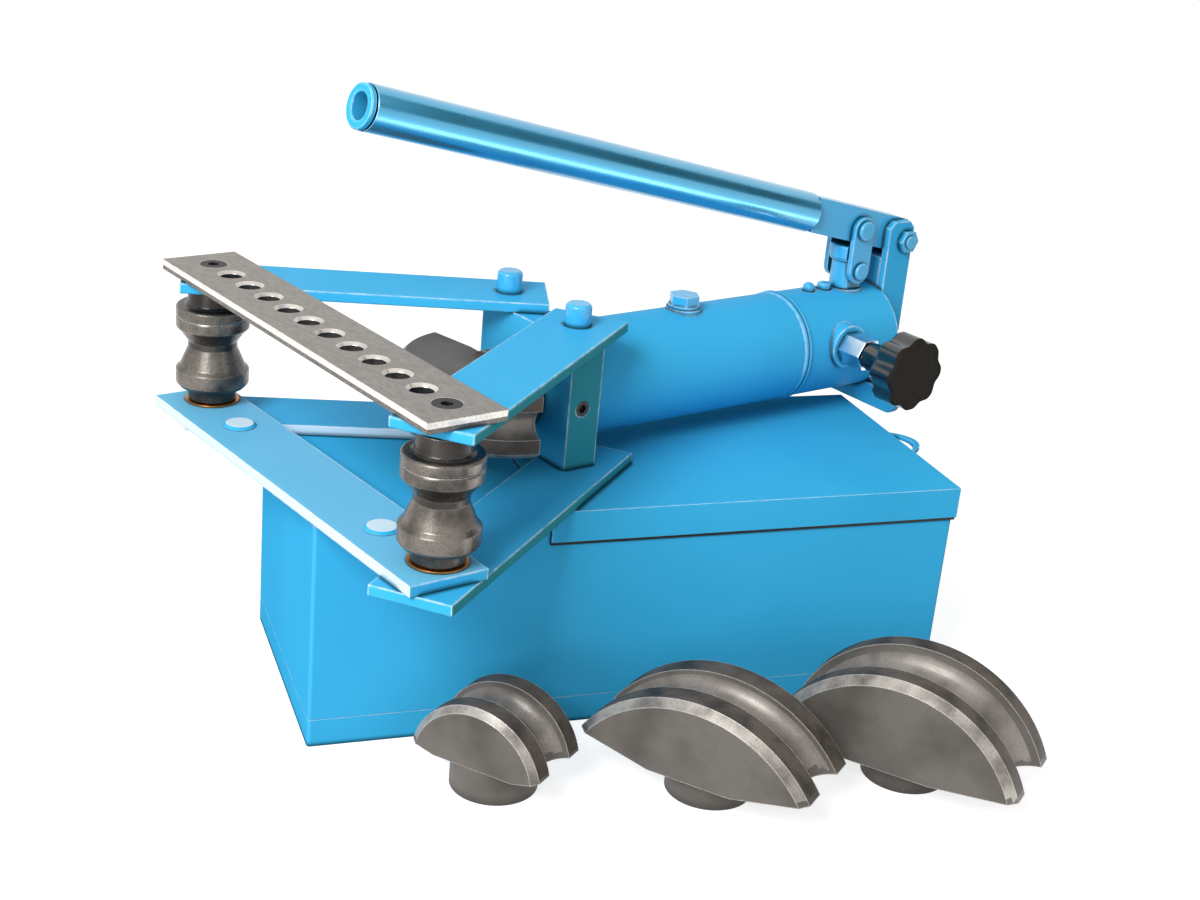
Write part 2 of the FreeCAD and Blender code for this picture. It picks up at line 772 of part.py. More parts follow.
def handle_tube():
    inner = dim.handle_radius - dim.handle_wall
    tube = turned("handle_tube", box_corners(inner, dim.handle_radius, 0, dim.handle_length))
    start = dim.lever_reach + dim.loose_fit
    along, above = cosine(dim.handle_angle), sine(dim.handle_angle)
    place(tube, dim.fulcrum_place - start * along + dim.lever_rise * above, 0,
          fulcrum_level + start * above + dim.lever_rise * along, (0, 1, 0), dim.handle_angle - 90)


def link_pin(label, head, height):
    reach = plate_inside + dim.link_thick + plate_gap
    radius = dim.link_pin_radius
    pin = new_body(label)
    sketch = new_sketch(pin, "XZ_Plane")
    face = reach + dim.link_head_thick
    bevel = dim.link_head_thick / 3
    outline(sketch, [(0, -face), (head - bevel, -face), (head, bevel - face), (head, -reach),
                     (radius, -reach), (radius, reach), (head, reach), (head, face - bevel),
                     (head - bevel, face), (0, face)])
    feature = pin.newObject("PartDesign::Revolution", f"{label}_turn")
    feature.Profile = sketch
    feature.ReferenceAxis = (sketch, ["V_Axis"])
    feature.Angle = 360
    place(pin, plunger_place, 0, height, (1, 0, 0), 90)


def pump_links():
    link = new_body("pump_link_right")
    sketch = new_sketch(link, "XZ_Plane")
    half = dim.link_width / 2
    outline(sketch, [(half, 0, half), (-half, 0), (-half, -link_length, half), (half, -link_length)])
    ring(sketch, 0, 0, dim.link_pin_radius + dim.sliding_fit)
    ring(sketch, 0, -link_length, dim.link_pin_radius + dim.link_slack)
    pad(link, sketch, dim.link_thick)
    place(link, plunger_place, -plate_inside, link_pin_high)
    mirrored("pump_link_left", link)
    link_pin("link_pin_top", dim.link_pin_radius * 1.7, link_pin_high)
    link_pin("link_pin_bottom", dim.link_pin_radius * 1.5, link_pin_low)


# Both sides of the sleeve and of its cap are milled flat, so that the links pass them
def flats(body, half, width, height):
    sketch = new_sketch(body, "XY_Plane")
    for side in (-1, 1):
        near, far = side * half, side * width
        outline(sketch, box_corners(-width, width, near if side > 0 else far, far if side > 0 else near))
    pocket(body, sketch, height, back=True)


def plunger_parts():
    low = block_top + dim.loose_fit * 2
    outer = dim.sleeve_radius
    inner = outer - dim.sleeve_wall
    run = sleeve_top - low
    bevel = outer / 13.5
    flat = plate_inside - dim.loose_fit
    sleeve = turned("plunger_sleeve", [(inner, 0), (outer, 0), (outer, run - bevel), (outer - bevel, run),
                                       (0, run), (0, sleeve_ceiling - low), (inner, sleeve_ceiling - low)])
    flats(sleeve, flat, outer * 2, run)
    drill(sleeve, "XZ_Plane", 0, link_pin_low - low, dim.link_pin_radius, middle=True)
    place(sleeve, plunger_place, 0, low)

    wide = dim.cap_radius
    rise = link_pin_high - dim.cap_clearance - sleeve_top
    waist = wide - bevel
    cap = turned("plunger_cap", [(0, 0), (waist, 0), (waist, bevel * 2), (wide, bevel * 2),
                                 (wide, rise - bevel), (waist, rise), (0, rise)])
    flats(cap, flat, wide * 2, rise)
    # the back of the cap slopes down, clear of the lever when it stands highest
    slope = new_sketch(cap, "XZ_Plane")
    outline(slope, [(dim.cap_slope_start, rise), (wide, rise - dim.cap_slope_drop),
                    (wide * 2, rise - dim.cap_slope_drop), (wide * 2, rise * 2),
                    (dim.cap_slope_start, rise * 2)])
    pocket(cap, slope, middle=True)
    place(cap, plunger_place, 0, sleeve_top)

    depth = dim.plunger_depth - dim.plunger_radius / 3
    length = depth + sleeve_ceiling - block_top
    rod = turned("pump_plunger", [(0, 0), (dim.plunger_radius, 0), (dim.plunger_radius, length),
                                  (0, length)])
    place(rod, plunger_place, 0, block_top - depth)


# Counter rollers: a waisted pair of cones between two discs, on plain necks, standing on a
# bronze thrust washer
def rollers():
    bore = dim.roller_pin_radius + dim.sliding_fit
    neck = dim.roller_neck_radius
    disc = dim.roller_disc_radius
    waist = dim.roller_waist_radius
    height = dim.roller_height
    bevel = disc / 9
    lip = disc - bevel
    shoulder = neck * 1.27
    # heights up the roller, as parts of its length
    foot_top = height / 9
    cone_low = height * 0.31
    waist_low = height * 0.47
    waist_high = height * 0.51
    cone_high = height * 0.6
    disc_top = height * 0.755
    step_top = height * 0.83
    roller = turned("roller_right", [(bore, 0), (neck, 0), (neck, foot_top), (lip, foot_top),
                                     (disc, foot_top + bevel), (disc, cone_low - bevel), (lip, cone_low),
                                     (waist, waist_low), (waist, waist_high), (lip, cone_high),
                                     (disc, cone_high + bevel), (disc, disc_top - bevel), (lip, disc_top),
                                     (shoulder, disc_top), (shoulder, step_top), (neck, step_top),
                                     (neck, height), (bore, height)])
    base = roller_floor + dim.washer_thick + dim.loose_fit
    place(roller, -dim.roller_reach, -roller_spread, base)
    mirrored("roller_left", roller)
    washer = turned("roller_washer", box_corners(pin_play, dim.washer_radius, 0, dim.washer_thick))
    place(washer, -dim.roller_reach, -roller_spread, roller_floor)
    pair("roller_washers", washer)
    low = lower_arm_level + dim.loose_fit
    top = frame_top - low
    radius = dim.roller_pin_radius
    head = dim.roller_head_radius
    tip = radius / 8
    pin = turned("roller_pin_right", [(0, 0), (radius - tip, 0), (radius, tip),
                                      (radius, top - (head - radius)), (head, top), (0, top)])
    socket = new_sketch(pin, "XY_Plane", top)
    outline(socket, hexagon(radius))
    pocket(pin, socket, dim.plate_thick * 0.7)
    place(pin, -dim.roller_reach, -roller_spread, low)
    mirrored("roller_pin_left", pin)


# Formers: half-moon cast blocks with the tube's groove round the crown and a socketed stub
# below. Local origin at the stub's mouth, crown towards +Z, thickness along Y.
def former(label, size):
    half_chord, crown, tip, seat, thick, groove = (
        getattr(dim, f"{size}_{part}") for part in ("chord", "crown", "tip", "seat", "thick", "groove"))
    rise = crown - tip
    radius = (half_chord * half_chord + rise * rise) / (2 * rise)
    centre = crown - radius
    half = thick / 2
    bevel = thick / 14
    body = new_body(label)
    section = new_sketch(body, "YZ_Plane")
    outline(section, [(-half, 0), (half, 0), (half, radius - bevel), (half - bevel, radius),
                      (groove, radius, -groove), (-groove, radius), (bevel - half, radius),
                      (-half, radius - bevel)])
    feature = body.newObject("PartDesign::Revolution", f"{label}_turn")
    feature.Profile = section
    feature.ReferenceAxis = (section, ["H_Axis"])
    feature.Angle = 360
    under = new_sketch(body, "XZ_Plane")
    wide = radius * 2
    outline(under, [(-wide, tip - centre), (-half_chord, tip - centre), (-dim.stub_radius, seat - centre),
                    (dim.stub_radius, seat - centre), (half_chord, tip - centre), (wide, tip - centre),
                    (wide, -wide), (-wide, -wide)])
    pocket(body, under, middle=True)
    stub = new_sketch(body, "XY_Plane", -centre)
    ring(stub, 0, 0, dim.stub_radius)
    pad(body, stub, seat * 1.25)
    drill(body, "XY_Plane", 0, 0, dim.ram_radius + dim.sliding_fit, socket_depth, lift=-centre, back=True)
    return body, centre


def formers():
    body, centre = former("mounted_former", "mounted")
    place(body, -(mounted_mouth + centre), 0, ram_level, None)
    body.Placement.Rotation = Rotation(Vector(1, 0, 0), Vector(0, 0, -1), Vector(-1, 0, 0), "ZXY")
    for size in ("small", "medium", "large"):
        body, centre = former(f"former_{size}", size)
        run, side = getattr(dim, f"{size}_run"), getattr(dim, f"{size}_side")
        place(body, run, side, centre, (0, 0, 1), -dim.former_yaw)


# Storage case: drawn square to itself from its front left corner and then turned under the
# bender, with a spot-welded bottom pan, a fixed deck under the arms and a lid that slides off
def case_parts():
    length = dim.case_length
    depth = dim.case_depth
    sheet_metal = dim.sheet_thick
    wall_top = dim.frame_height - dim.deck_thick
    double = 2 * sheet_metal
    turn = dict(axis=(0, 0, 1), angle=-dim.case_yaw)

    def at_corner(body, z=0):
        return place(body, -dim.case_corner_back, -dim.case_corner_side, z, **turn)

    pan = new_body("bottom_pan")
    base = new_sketch(pan, "XY_Plane")
    outline(base, box_corners(0, length, 0, depth))
    pad(pan, base, dim.pan_height)
    hollow = new_sketch(pan, "XY_Plane", dim.pan_height)
    outline(hollow, box_corners(double, length - double, double, depth - double))
    pocket(pan, hollow, dim.pan_height - sheet_metal)
    lip = new_sketch(pan, "XY_Plane", dim.pan_height)
    outline(lip, box_corners(sheet_metal, length - sheet_metal, sheet_metal, depth - sheet_metal))
    outline(lip, box_corners(double, length - double, double, depth - double))
    pad(pan, lip, dim.pan_lip)
    at_corner(pan)

    walls = new_body("case_body")
    shell = new_sketch(walls, "XY_Plane")
    outline(shell, box_corners(0, length, 0, depth))
    outline(shell, box_corners(sheet_metal, length - sheet_metal, sheet_metal, depth - sheet_metal))
    pad(walls, shell, wall_top - dim.pan_height)
    at_corner(walls, dim.pan_height)

    deck = new_body("case_deck")
    plate = new_sketch(deck, "XY_Plane")
    outline(plate, box_corners(0, dim.deck_length, 0, depth))
    across = dim.case_corner_back - bolt_reach
    for side in (-1, 1):
        along = dim.case_corner_side + side * bolt_spread
        ring(plate, across * cosine(dim.case_yaw) - along * sine(dim.case_yaw),
             across * sine(dim.case_yaw) + along * cosine(dim.case_yaw),
             dim.deck_bolt_radius + dim.sliding_fit)
    pad(deck, plate, dim.deck_thick)
    at_corner(deck, wall_top)

    lid = new_body("lid")
    out = dim.lid_play + sheet_metal
    start = dim.deck_length + dim.lid_gap
    top = dim.frame_height - dim.loose_fit
    skirt_low = dim.frame_height - dim.lid_skirt
    block = new_sketch(lid, "XY_Plane")
    outline(block, box_corners(start, length + out, -out, depth + out))
    pad(lid, block, top - skirt_low)
    inside = new_sketch(lid, "XY_Plane")
    outline(inside, box_corners(start - sheet_metal, length + dim.lid_play, -dim.lid_play,
                                depth + dim.lid_play))
    pocket(lid, inside, wall_top + dim.loose_fit / 2 - skirt_low, back=True)
    at_corner(lid, skirt_low)

    pull = new_body("lid_pull")
    loop = new_sketch(pull, "XY_Plane")
    edge = length + out
    middle = depth / 2 - dim.pull_shift
    half, bow = dim.pull_half, dim.pull_bow
    inner_half, inner_bow = half - dim.pull_band, bow - dim.pull_band
    outer = (half * half + bow * bow) / (2 * bow)
    inner = (inner_half * inner_half + inner_bow * inner_bow) / (2 * inner_bow)
    outline(loop, [(edge, middle - half, outer), (edge, middle + half), (edge, middle + inner_half, -inner),
                   (edge, middle - inner_half)])
    pad(pull, loop, double)
    at_corner(pull, top - double)


# The left arm is bolted down to the deck. The right arm stands on a stud that is welded to
# its underside.
def deck_bolts():
    radius = dim.deck_bolt_radius
    head = radius * 2.3
    low = -dim.deck_thick - dim.deck_nut_thick - radius / 2
    thick = dim.plate_thick
    bolt = turned("deck_bolt", [(0, low), (radius, low), (radius, thick), (head, thick),
                                (head, thick + radius * 0.3), (head - radius * 0.8, thick + radius),
                                (0, thick + radius)])
    place(bolt, -bolt_reach, bolt_spread, dim.frame_height)
    stud = turned("deck_stud", [(0, low), (radius, low), (radius, 0), (0, 0)])
    place(stud, -bolt_reach, -bolt_spread, dim.frame_height)
    group = doc.addObject("Part::Compound", "deck_bolts")
    group.Links = [bolt, stud]
    nut = new_body("deck_nut")
    sketch = new_sketch(nut, "XY_Plane")
    outline(sketch, hexagon(radius * 3.4))
    ring(sketch, 0, 0, radius)
    pad(nut, sketch, dim.deck_nut_thick)
    place(nut, -bolt_reach, -bolt_spread, dim.frame_height - dim.deck_thick - dim.deck_nut_thick)
    pair("deck_nuts", nut)


# levels and places that several pieces share
crosshead_level = cross_bar_level
roller_floor = cross_bar_level + dim.plate_thick
pin_play = dim.roller_pin_radius + dim.loose_fit
ram_level = dim.frame_height + dim.ram_rise
block_top = ram_level + dim.cylinder_radius
boss_top = dim.cylinder_radius + dim.boss_rise
filler_shank = dim.filler_radius * 0.58
valve_level = ram_level + dim.valve_rise
fulcrum_level = ram_level + dim.fulcrum_rise
lug_top = fulcrum_level - dim.lever_depth / 2
plate_gap = dim.loose_fit
plate_inside = dim.lever_thick / 2 + plate_gap
plunger_place = dim.fulcrum_place - dim.link_arm * cosine(dim.handle_angle)
sleeve_ceiling = block_top + dim.gland_height + dim.loose_fit * 3
link_pin_high = fulcrum_level + dim.link_arm * sine(dim.handle_angle)
link_pin_low = sleeve_ceiling + dim.link_pin_rise
link_length = link_pin_high - link_pin_low
sleeve_top = link_pin_low + dim.sleeve_head
mounted_mouth = dim.crosshead_front + dim.mounted_gap
socket_depth = dim.ram_nose - mounted_mouth + dim.nose_chamfer / 3
bolt_reach = dim.deck_bolt_run * cosine(arm_turn)
bolt_spread = dim.pin_spread + dim.deck_bolt_run * sine(arm_turn)

arm("lower_arm_right", lower_arm_level, -1, dim.lower_right_margin, dim.lower_rear_margin,
    dim.lower_rear_drift)
arm("lower_arm_left", lower_arm_level, 1, dim.lower_left_margin, dim.lower_rear_margin,
    dim.lower_rear_drift, dim.deck_bolt_radius + dim.sliding_fit)
upper_arm_right = arm("upper_arm_right", upper_arm_level, -1, dim.upper_margin, dim.upper_rear_margin)
mirrored("upper_arm_left", upper_arm_right)
top_strap()
cross_bar()
bar_plugs()
crosshead()
crosshead_screws()
crosshead_pin()
cylinder_parts()
filler_plug()
ram_parts()
pump_block()
block_fittings()
rear_foot()
release_valve()
fulcrum_parts()
lever_bar()
handle_tube()
pump_links()
plunger_parts()
rollers()
formers()
case_parts()
deck_bolts()

# what a pair or a mirror image is made from isn't a piece of its own
INNER = ["bar_plug", "bar_plug_twin", "crosshead_screw", "crosshead_screw_twin", "roller_washer",
         "roller_washer_twin", "deck_bolt", "deck_stud", "deck_nut", "deck_nut_twin"]

doc.recompute()
failed = [f"{item.Label}: {item.getStatusString()}" for item in doc.Objects
          if "Invalid" in item.State or "Error" in item.State]
if failed:
    raise RuntimeError("; ".join(failed))

PIECE_TYPES = ("PartDesign::Body", "Part::Mirroring", "Part::Compound")
pieces = [item for item in doc.Objects if item.TypeId in PIECE_TYPES and item.Label not in INNER]
for item in pieces:
    if item.Shape.isNull() or not item.Shape.isValid():
        raise RuntimeError(f"{item.Label} has no valid shape")

os.makedirs("parts", exist_ok=True)
for item in pieces:
    item.Shape.exportStep(f"parts/{item.Label}.step")
print(len(pieces), "pieces")
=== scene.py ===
import json
import math
import bmesh
import bpy
from mathutils import Matrix, Vector

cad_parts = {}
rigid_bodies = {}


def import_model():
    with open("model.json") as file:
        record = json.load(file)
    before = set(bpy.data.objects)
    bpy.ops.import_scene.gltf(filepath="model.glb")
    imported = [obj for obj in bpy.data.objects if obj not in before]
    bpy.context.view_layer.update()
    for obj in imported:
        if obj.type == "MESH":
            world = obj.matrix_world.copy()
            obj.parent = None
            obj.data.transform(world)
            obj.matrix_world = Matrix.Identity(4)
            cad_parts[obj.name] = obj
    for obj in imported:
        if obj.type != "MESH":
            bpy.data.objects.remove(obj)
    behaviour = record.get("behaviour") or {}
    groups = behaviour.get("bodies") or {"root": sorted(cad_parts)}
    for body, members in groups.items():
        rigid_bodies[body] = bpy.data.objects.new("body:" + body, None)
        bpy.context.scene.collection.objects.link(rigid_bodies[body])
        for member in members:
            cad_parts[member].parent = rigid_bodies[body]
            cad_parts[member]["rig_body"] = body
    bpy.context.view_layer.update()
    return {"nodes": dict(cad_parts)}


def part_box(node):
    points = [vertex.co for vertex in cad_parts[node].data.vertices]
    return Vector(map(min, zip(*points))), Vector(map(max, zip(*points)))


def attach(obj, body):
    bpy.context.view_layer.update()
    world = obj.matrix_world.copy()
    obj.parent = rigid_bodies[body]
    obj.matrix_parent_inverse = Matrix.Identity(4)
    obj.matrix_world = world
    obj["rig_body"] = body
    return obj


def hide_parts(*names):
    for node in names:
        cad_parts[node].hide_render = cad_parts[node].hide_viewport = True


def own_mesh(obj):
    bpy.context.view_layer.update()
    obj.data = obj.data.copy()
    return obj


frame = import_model()
nodes = frame["nodes"]

# The photograph's own view, in metres and degrees, fitted from the strap's holes, the arms and the case.
view = {"place": (-0.79107, -1.05968, 0.70245), "heading": 39.07, "dip": 21.41, "roll": 5.38, "lens": 54.36}


def addCamera():
    heading, dip, roll = (math.radians(view[key]) for key in ("heading", "dip", "roll"))
    turn = (Matrix.Rotation(-heading, 4, "Z") @ Matrix.Rotation(math.pi / 2 - dip, 4, "X")
            @ Matrix.Rotation(roll, 4, "Z"))
    camera = bpy.data.objects.new("camera", bpy.data.cameras.new("camera"))
    camera.data.sensor_width = 36
    camera.data.lens = view["lens"]
    camera.data.clip_start, camera.data.clip_end = 0.05, 30
    camera.matrix_world = Matrix.Translation(view["place"]) @ turn
    bpy.context.scene.collection.objects.link(camera)
    bpy.context.scene.camera = camera


addCamera()
print("camera placed")


# Finishes. Object coordinates are metres, so a pattern's scale is one over its size in metres.
def linear(hexColour):
    channels = [int(hexColour[i:i + 2], 16) / 255 for i in (1, 3, 5)]
    return [c / 12.92 if c <= 0.04045 else ((c + 0.055) / 1.055) ** 2.4 for c in channels] + [1]


def newFinish(name):
    finish = bpy.data.materials.new(name)
    finish.use_nodes = True
    finish.node_tree.nodes.clear()
    return finish


# Adds one node with its settings and its links. A Mix node hands on its colour, any other its first output.
# Map Range takes 0 the value, 1 and 2 its range, 3 and 4 the new range; Mix takes 0 the share, 6 and 7 colours.
def addNode(finish, kind, settings, inputs):
    node = finish.node_tree.nodes.new("ShaderNode" + kind)
    for name, value in settings.items():
        setattr(node, name, value)
    for socket, value in inputs.items():
        if isinstance(value, bpy.types.Node):
            value = value.outputs[2 if value.type == "MIX" else 0]
        if isinstance(value, bpy.types.NodeSocket):
            finish.node_tree.links.new(value, node.inputs[socket])
        else:
            node.inputs[socket].default_value = value
    return node


mixing = {"data_type": "RGBA"}
product = {"operation": "MULTIPLY"}


# One near every edge, outer or inner, and nothing on a flat, with how far up the rounded edge faces
def edgeShare(finish, radius):
    rounded = addNode(finish, "Bevel", {"samples": 4}, {"Radius": radius})
    normal = addNode(finish, "NewGeometry", {}, {}).outputs["Normal"]
    facing = addNode(finish, "VectorMath", {"operation": "DOT_PRODUCT"}, {0: rounded, 1: normal})
    level = addNode(finish, "SeparateXYZ", {}, {"Vector": rounded}).outputs["Z"]
    return addNode(finish, "MapRange", {}, {0: facing.outputs["Value"], 1: 1.0, 2: 0.88}), level


# How much of the sky over a place is hidden by what stands within reach of it: the finishes paint shade there
def paintedShadeMask(finish, reach, clear, hidden):
    sky = addNode(finish, "AmbientOcclusion", {"samples": 8}, {"Distance": reach}).outputs["AO"]
    return addNode(finish, "MapRange", {}, {0: sky, 1: clear, 2: hidden})


def shade(finish, inputs):
    surface = addNode(finish, "BsdfPrincipled", {}, inputs)
    addNode(finish, "OutputMaterial", {}, {"Surface": surface})
    return finish


# in these recipes the teal and near-black colours are painted shade, and the near-white edge colour is a
# painted highlight
enamel = {"colour": "#40b6ec", "deep": "#30a7de", "shade": "#16808f", "thin": "#f0faff", "grime": "#0e3038",
          "cloud": 0.12, "fleck": 0.007, "peel": 0.0022, "peelDepth": 0.00003, "edge": 0.0010,
          "corner": 0.006, "shelter": 0.07, "dull": 0.4, "roughness": 0.45, "shine": 0.0, "coat": 0.0,
          "metallic": 0.0}
plateEnamel = {**enamel, "edge": 0.0022, "shine": 0.05}
# a paler enamel for the cross bar's top: a painted highlight on a face turned up to the lamp
litTopEnamel = {**plateEnamel, "colour": "#72c6f0", "deep": "#5cbbea", "dull": 0.15}
glossEnamel = {**enamel, "roughness": 0.22, "shine": 0.4, "coat": 0.3, "dull": 0.3}
# a darker teal enamel: painted shade on faces that stand in shade
shadedEnamel = {**plateEnamel, "colour": "#349bab", "deep": "#268593", "dull": 0.2}
rubbedEnamel = {**enamel, "colour": "#52b2dc", "deep": "#42a6d3", "peel": 0.0030, "peelDepth": 0.00001,
                "dull": 0.0, "roughness": 0.27, "shine": 0.5, "coat": 1.0, "metallic": 0.8}
# a near-white enamel: painted highlight on faces turned to the lamp
highlightEnamel = {**plateEnamel, "colour": "#d9f0fd", "deep": "#bfe4fa", "thin": "#ffffff", "grime": "#3c6f8a",
             "dull": 0.1}


def sprayedEnamel(name, recipe):
    # enamel sprayed on steel: even colour with a faint cloud and orange peel; upper edges pale, partly thin
    # rubbed paint and partly a painted highlight; a greener painted shade in sheltered places, and a dark
    # painted shade in corners and under lower edges
    finish = newFinish(name)
    tints = {key: linear(recipe[key]) for key in ("colour", "deep", "shade", "thin", "grime")}
    place = addNode(finish, "TexCoord", {}, {}).outputs["Object"]
    cloud = addNode(finish, "TexNoise", {}, {"Vector": place, "Scale": 1 / recipe["cloud"], "Detail": 3.0})
    fleck = addNode(finish, "TexNoise", {}, {"Vector": place, "Scale": 1 / recipe["fleck"], "Detail": 2.0})
    peel = addNode(finish, "TexNoise", {}, {"Vector": place, "Scale": 1 / recipe["peel"], "Detail": 1.0})
    faint = addNode(finish, "MapRange", {}, {0: cloud, 1: 0.4, 2: 0.75, 4: 0.4})
    body = addNode(finish, "Mix", mixing, {0: faint, 6: tints["colour"], 7: tints["deep"]})
    # painted shade: sheltered places turn towards the greener shade colour
    shadeCover = paintedShadeMask(finish, recipe["shelter"], 0.7, 0.1)
    dull = addNode(finish, "Math", product, {0: shadeCover, 1: recipe["dull"]})
    body = addNode(finish, "Mix", mixing, {0: dull, 6: body, 7: tints["shade"]})
    # painted highlight and shade on edges: upper edges pale, partly wear, lower edges dark
    share, level = edgeShare(finish, recipe["edge"])
    upper = addNode(finish, "MapRange", {}, {0: level, 1: -0.3, 2: -0.1})
    edgeLightAndShade = addNode(finish, "Mix", mixing, {0: upper, 6: tints["grime"], 7: tints["thin"]})
    broken = addNode(finish, "MapRange", {}, {0: fleck, 1: 0.35, 2: 0.6, 3: 0.35, 4: 0.95})
    edgeWearAndLight = addNode(finish, "Math", product, {0: share, 1: broken})
    body = addNode(finish, "Mix", mixing, {0: edgeWearAndLight, 6: body, 7: edgeLightAndShade})
    # painted shade: corners darken towards the dark shade colour
    cornerShade = addNode(finish, "Math", product, {0: paintedShadeMask(finish, recipe["corner"], 0.88, 0.6), 1: 0.85})
    colour = addNode(finish, "Mix", mixing, {0: cornerShade, 6: body, 7: tints["grime"]})
    bump = addNode(finish, "Bump", {}, {"Height": peel, "Distance": recipe["peelDepth"], "Strength": 0.6})
    rough = addNode(finish, "MapRange", {}, {0: cloud, 1: 0.3, 2: 0.7, 3: recipe["roughness"] - 0.05,
                                             4: recipe["roughness"] + 0.08})
    return shade(finish, {"Base Color": colour, "Roughness": rough, "Metallic": recipe["metallic"],
                          "Normal": bump, "Specular IOR Level": recipe["shine"],
                          "Coat Weight": recipe["coat"], "Coat Roughness": 0.1})


groundBar = {"colour": "#8f8983", "dark": "#7b756f", "bare": "#3b3632", "speck": "#b9b4ae", "oil": "#3a3530",
             "grit": 0.0016, "streak": (0.003, 0.008, 0.003), "edge": 0.0012, "roughness": 0.42,
             "metallic": 0.25}
# near-white bar edge: a painted highlight on the sheared band
shearedHighlightBar = {**groundBar, "colour": "#f4f1ed", "dark": "#dfdbd5", "roughness": 0.34}
tornBar = {**groundBar, "colour": "#6d6a67", "dark": "#57534f"}


def rolledSteel(name, recipe):
    # flat bar ground on its faces and wiped with oil: warm grey with fine bright specks, bright where it was
    # sheared (a painted highlight), a dark line of scale and oil along the edges, and painted shade in its
    # corners
    finish = newFinish(name)
    tints = {key: linear(recipe[key]) for key in ("colour", "dark", "bare", "speck", "oil")}
    place = addNode(finish, "TexCoord", {}, {}).outputs["Object"]
    drawn = addNode(finish, "Mapping", {}, {"Vector": place, "Scale": [1 / s for s in recipe["streak"]]})
    streak = addNode(finish, "TexNoise", {}, {"Vector": drawn, "Scale": 1.0, "Detail": 4.0})
    grit = addNode(finish, "TexNoise", {}, {"Vector": place, "Scale": 1 / recipe["grit"], "Detail": 2.0})
    streaked = addNode(finish, "MapRange", {}, {0: streak, 1: 0.35, 2: 0.7})
    body = addNode(finish, "Mix", mixing, {0: streaked, 6: tints["colour"], 7: tints["dark"]})
    specks = addNode(finish, "MapRange", {}, {0: grit, 1: 0.55, 2: 0.7, 4: 0.5})
    body = addNode(finish, "Mix", mixing, {0: specks, 6: body, 7: tints["speck"]})
    share, level = edgeShare(finish, recipe["edge"])
    scaled = addNode(finish, "Math", product, {0: share, 1: 0.8})
    body = addNode(finish, "Mix", mixing, {0: scaled, 6: body, 7: tints["bare"]})
    # painted shade: corners and recesses darken towards the oil colour, partly oil
    colour = addNode(finish, "Mix", mixing, {0: paintedShadeMask(finish, 0.006, 0.8, 0.5), 6: body, 7: tints["oil"]})
    bump = addNode(finish, "Bump", {}, {"Height": grit, "Distance": 0.00004, "Strength": 0.5})
    rough = addNode(finish, "MapRange", {}, {0: grit, 1: 0.3, 2: 0.7, 3: recipe["roughness"] - 0.1,
                                             4: recipe["roughness"] + 0.12})
    return shade(finish, {"Base Color": colour, "Metallic": recipe["metallic"], "Roughness": rough,
                          "Normal": bump})


sandCast = {"colour": "#69645f", "dark": "#4a4540", "bare": "#d9d4ce", "oil": "#221e1b", "grain": 0.0012,
            "patch": 0.05, "depth": 0.00012, "edge": 0.0012, "roughness": 0.5, "metallic": 0.1, "reach": 0.012}
turnedIron = {"colour": "#a7a19a", "dark": "#5f5953", "bare": "#ffffff", "oil": "#2c2824", "grain": 0.0013,
              "patch": 0.02, "depth": 0.00010, "edge": 0.0011, "roughness": 0.34, "metallic": 0.25,
              "reach": 0.012}
oilyLand = {"colour": "#5b5148", "dark": "#211b16", "bare": "#f6f2ec", "oil": "#14100d", "grain": 0.0014,
            "patch": 0.02, "depth": 0.00008, "edge": 0.0009, "roughness": 0.62, "metallic": 0.0, "reach": 0.012}
oilyGroove = {"colour": "#8c857e", "dark": "#5a544e", "bare": "#d8d2ca", "oil": "#1c1916", "grain": 0.0012,
              "patch": 0.03, "depth": 0.00006, "edge": 0.0009, "roughness": 0.34, "metallic": 0.25,
              "reach": 0.012}
darkCast = {"colour": "#756e67", "dark": "#2e2a26", "bare": "#ffffff", "oil": "#0e0c0a", "grain": 0.0016,
            "patch": 0.02, "depth": 0.00006, "edge": 0.0011, "roughness": 0.24, "metallic": 0.4, "reach": 0.035}
# a darker iron for painted shade under the roller's upper lip and round its neck
shadedCast = {**darkCast, "colour": "#453f3a", "dark": "#1f1b18"}
blackenedSteel = {"colour": "#191715", "dark": "#0e0d0c", "bare": "#8d8781", "oil": "#060505", "grain": 0.0010,
                  "patch": 0.01, "depth": 0.00003, "edge": 0.0004, "roughness": 0.5, "metallic": 0.0,
                  "reach": 0.008}
turnedSink = {**turnedIron, "colour": "#dcd7d0", "dark": "#b9b3ac", "roughness": 0.22, "metallic": 0.55}


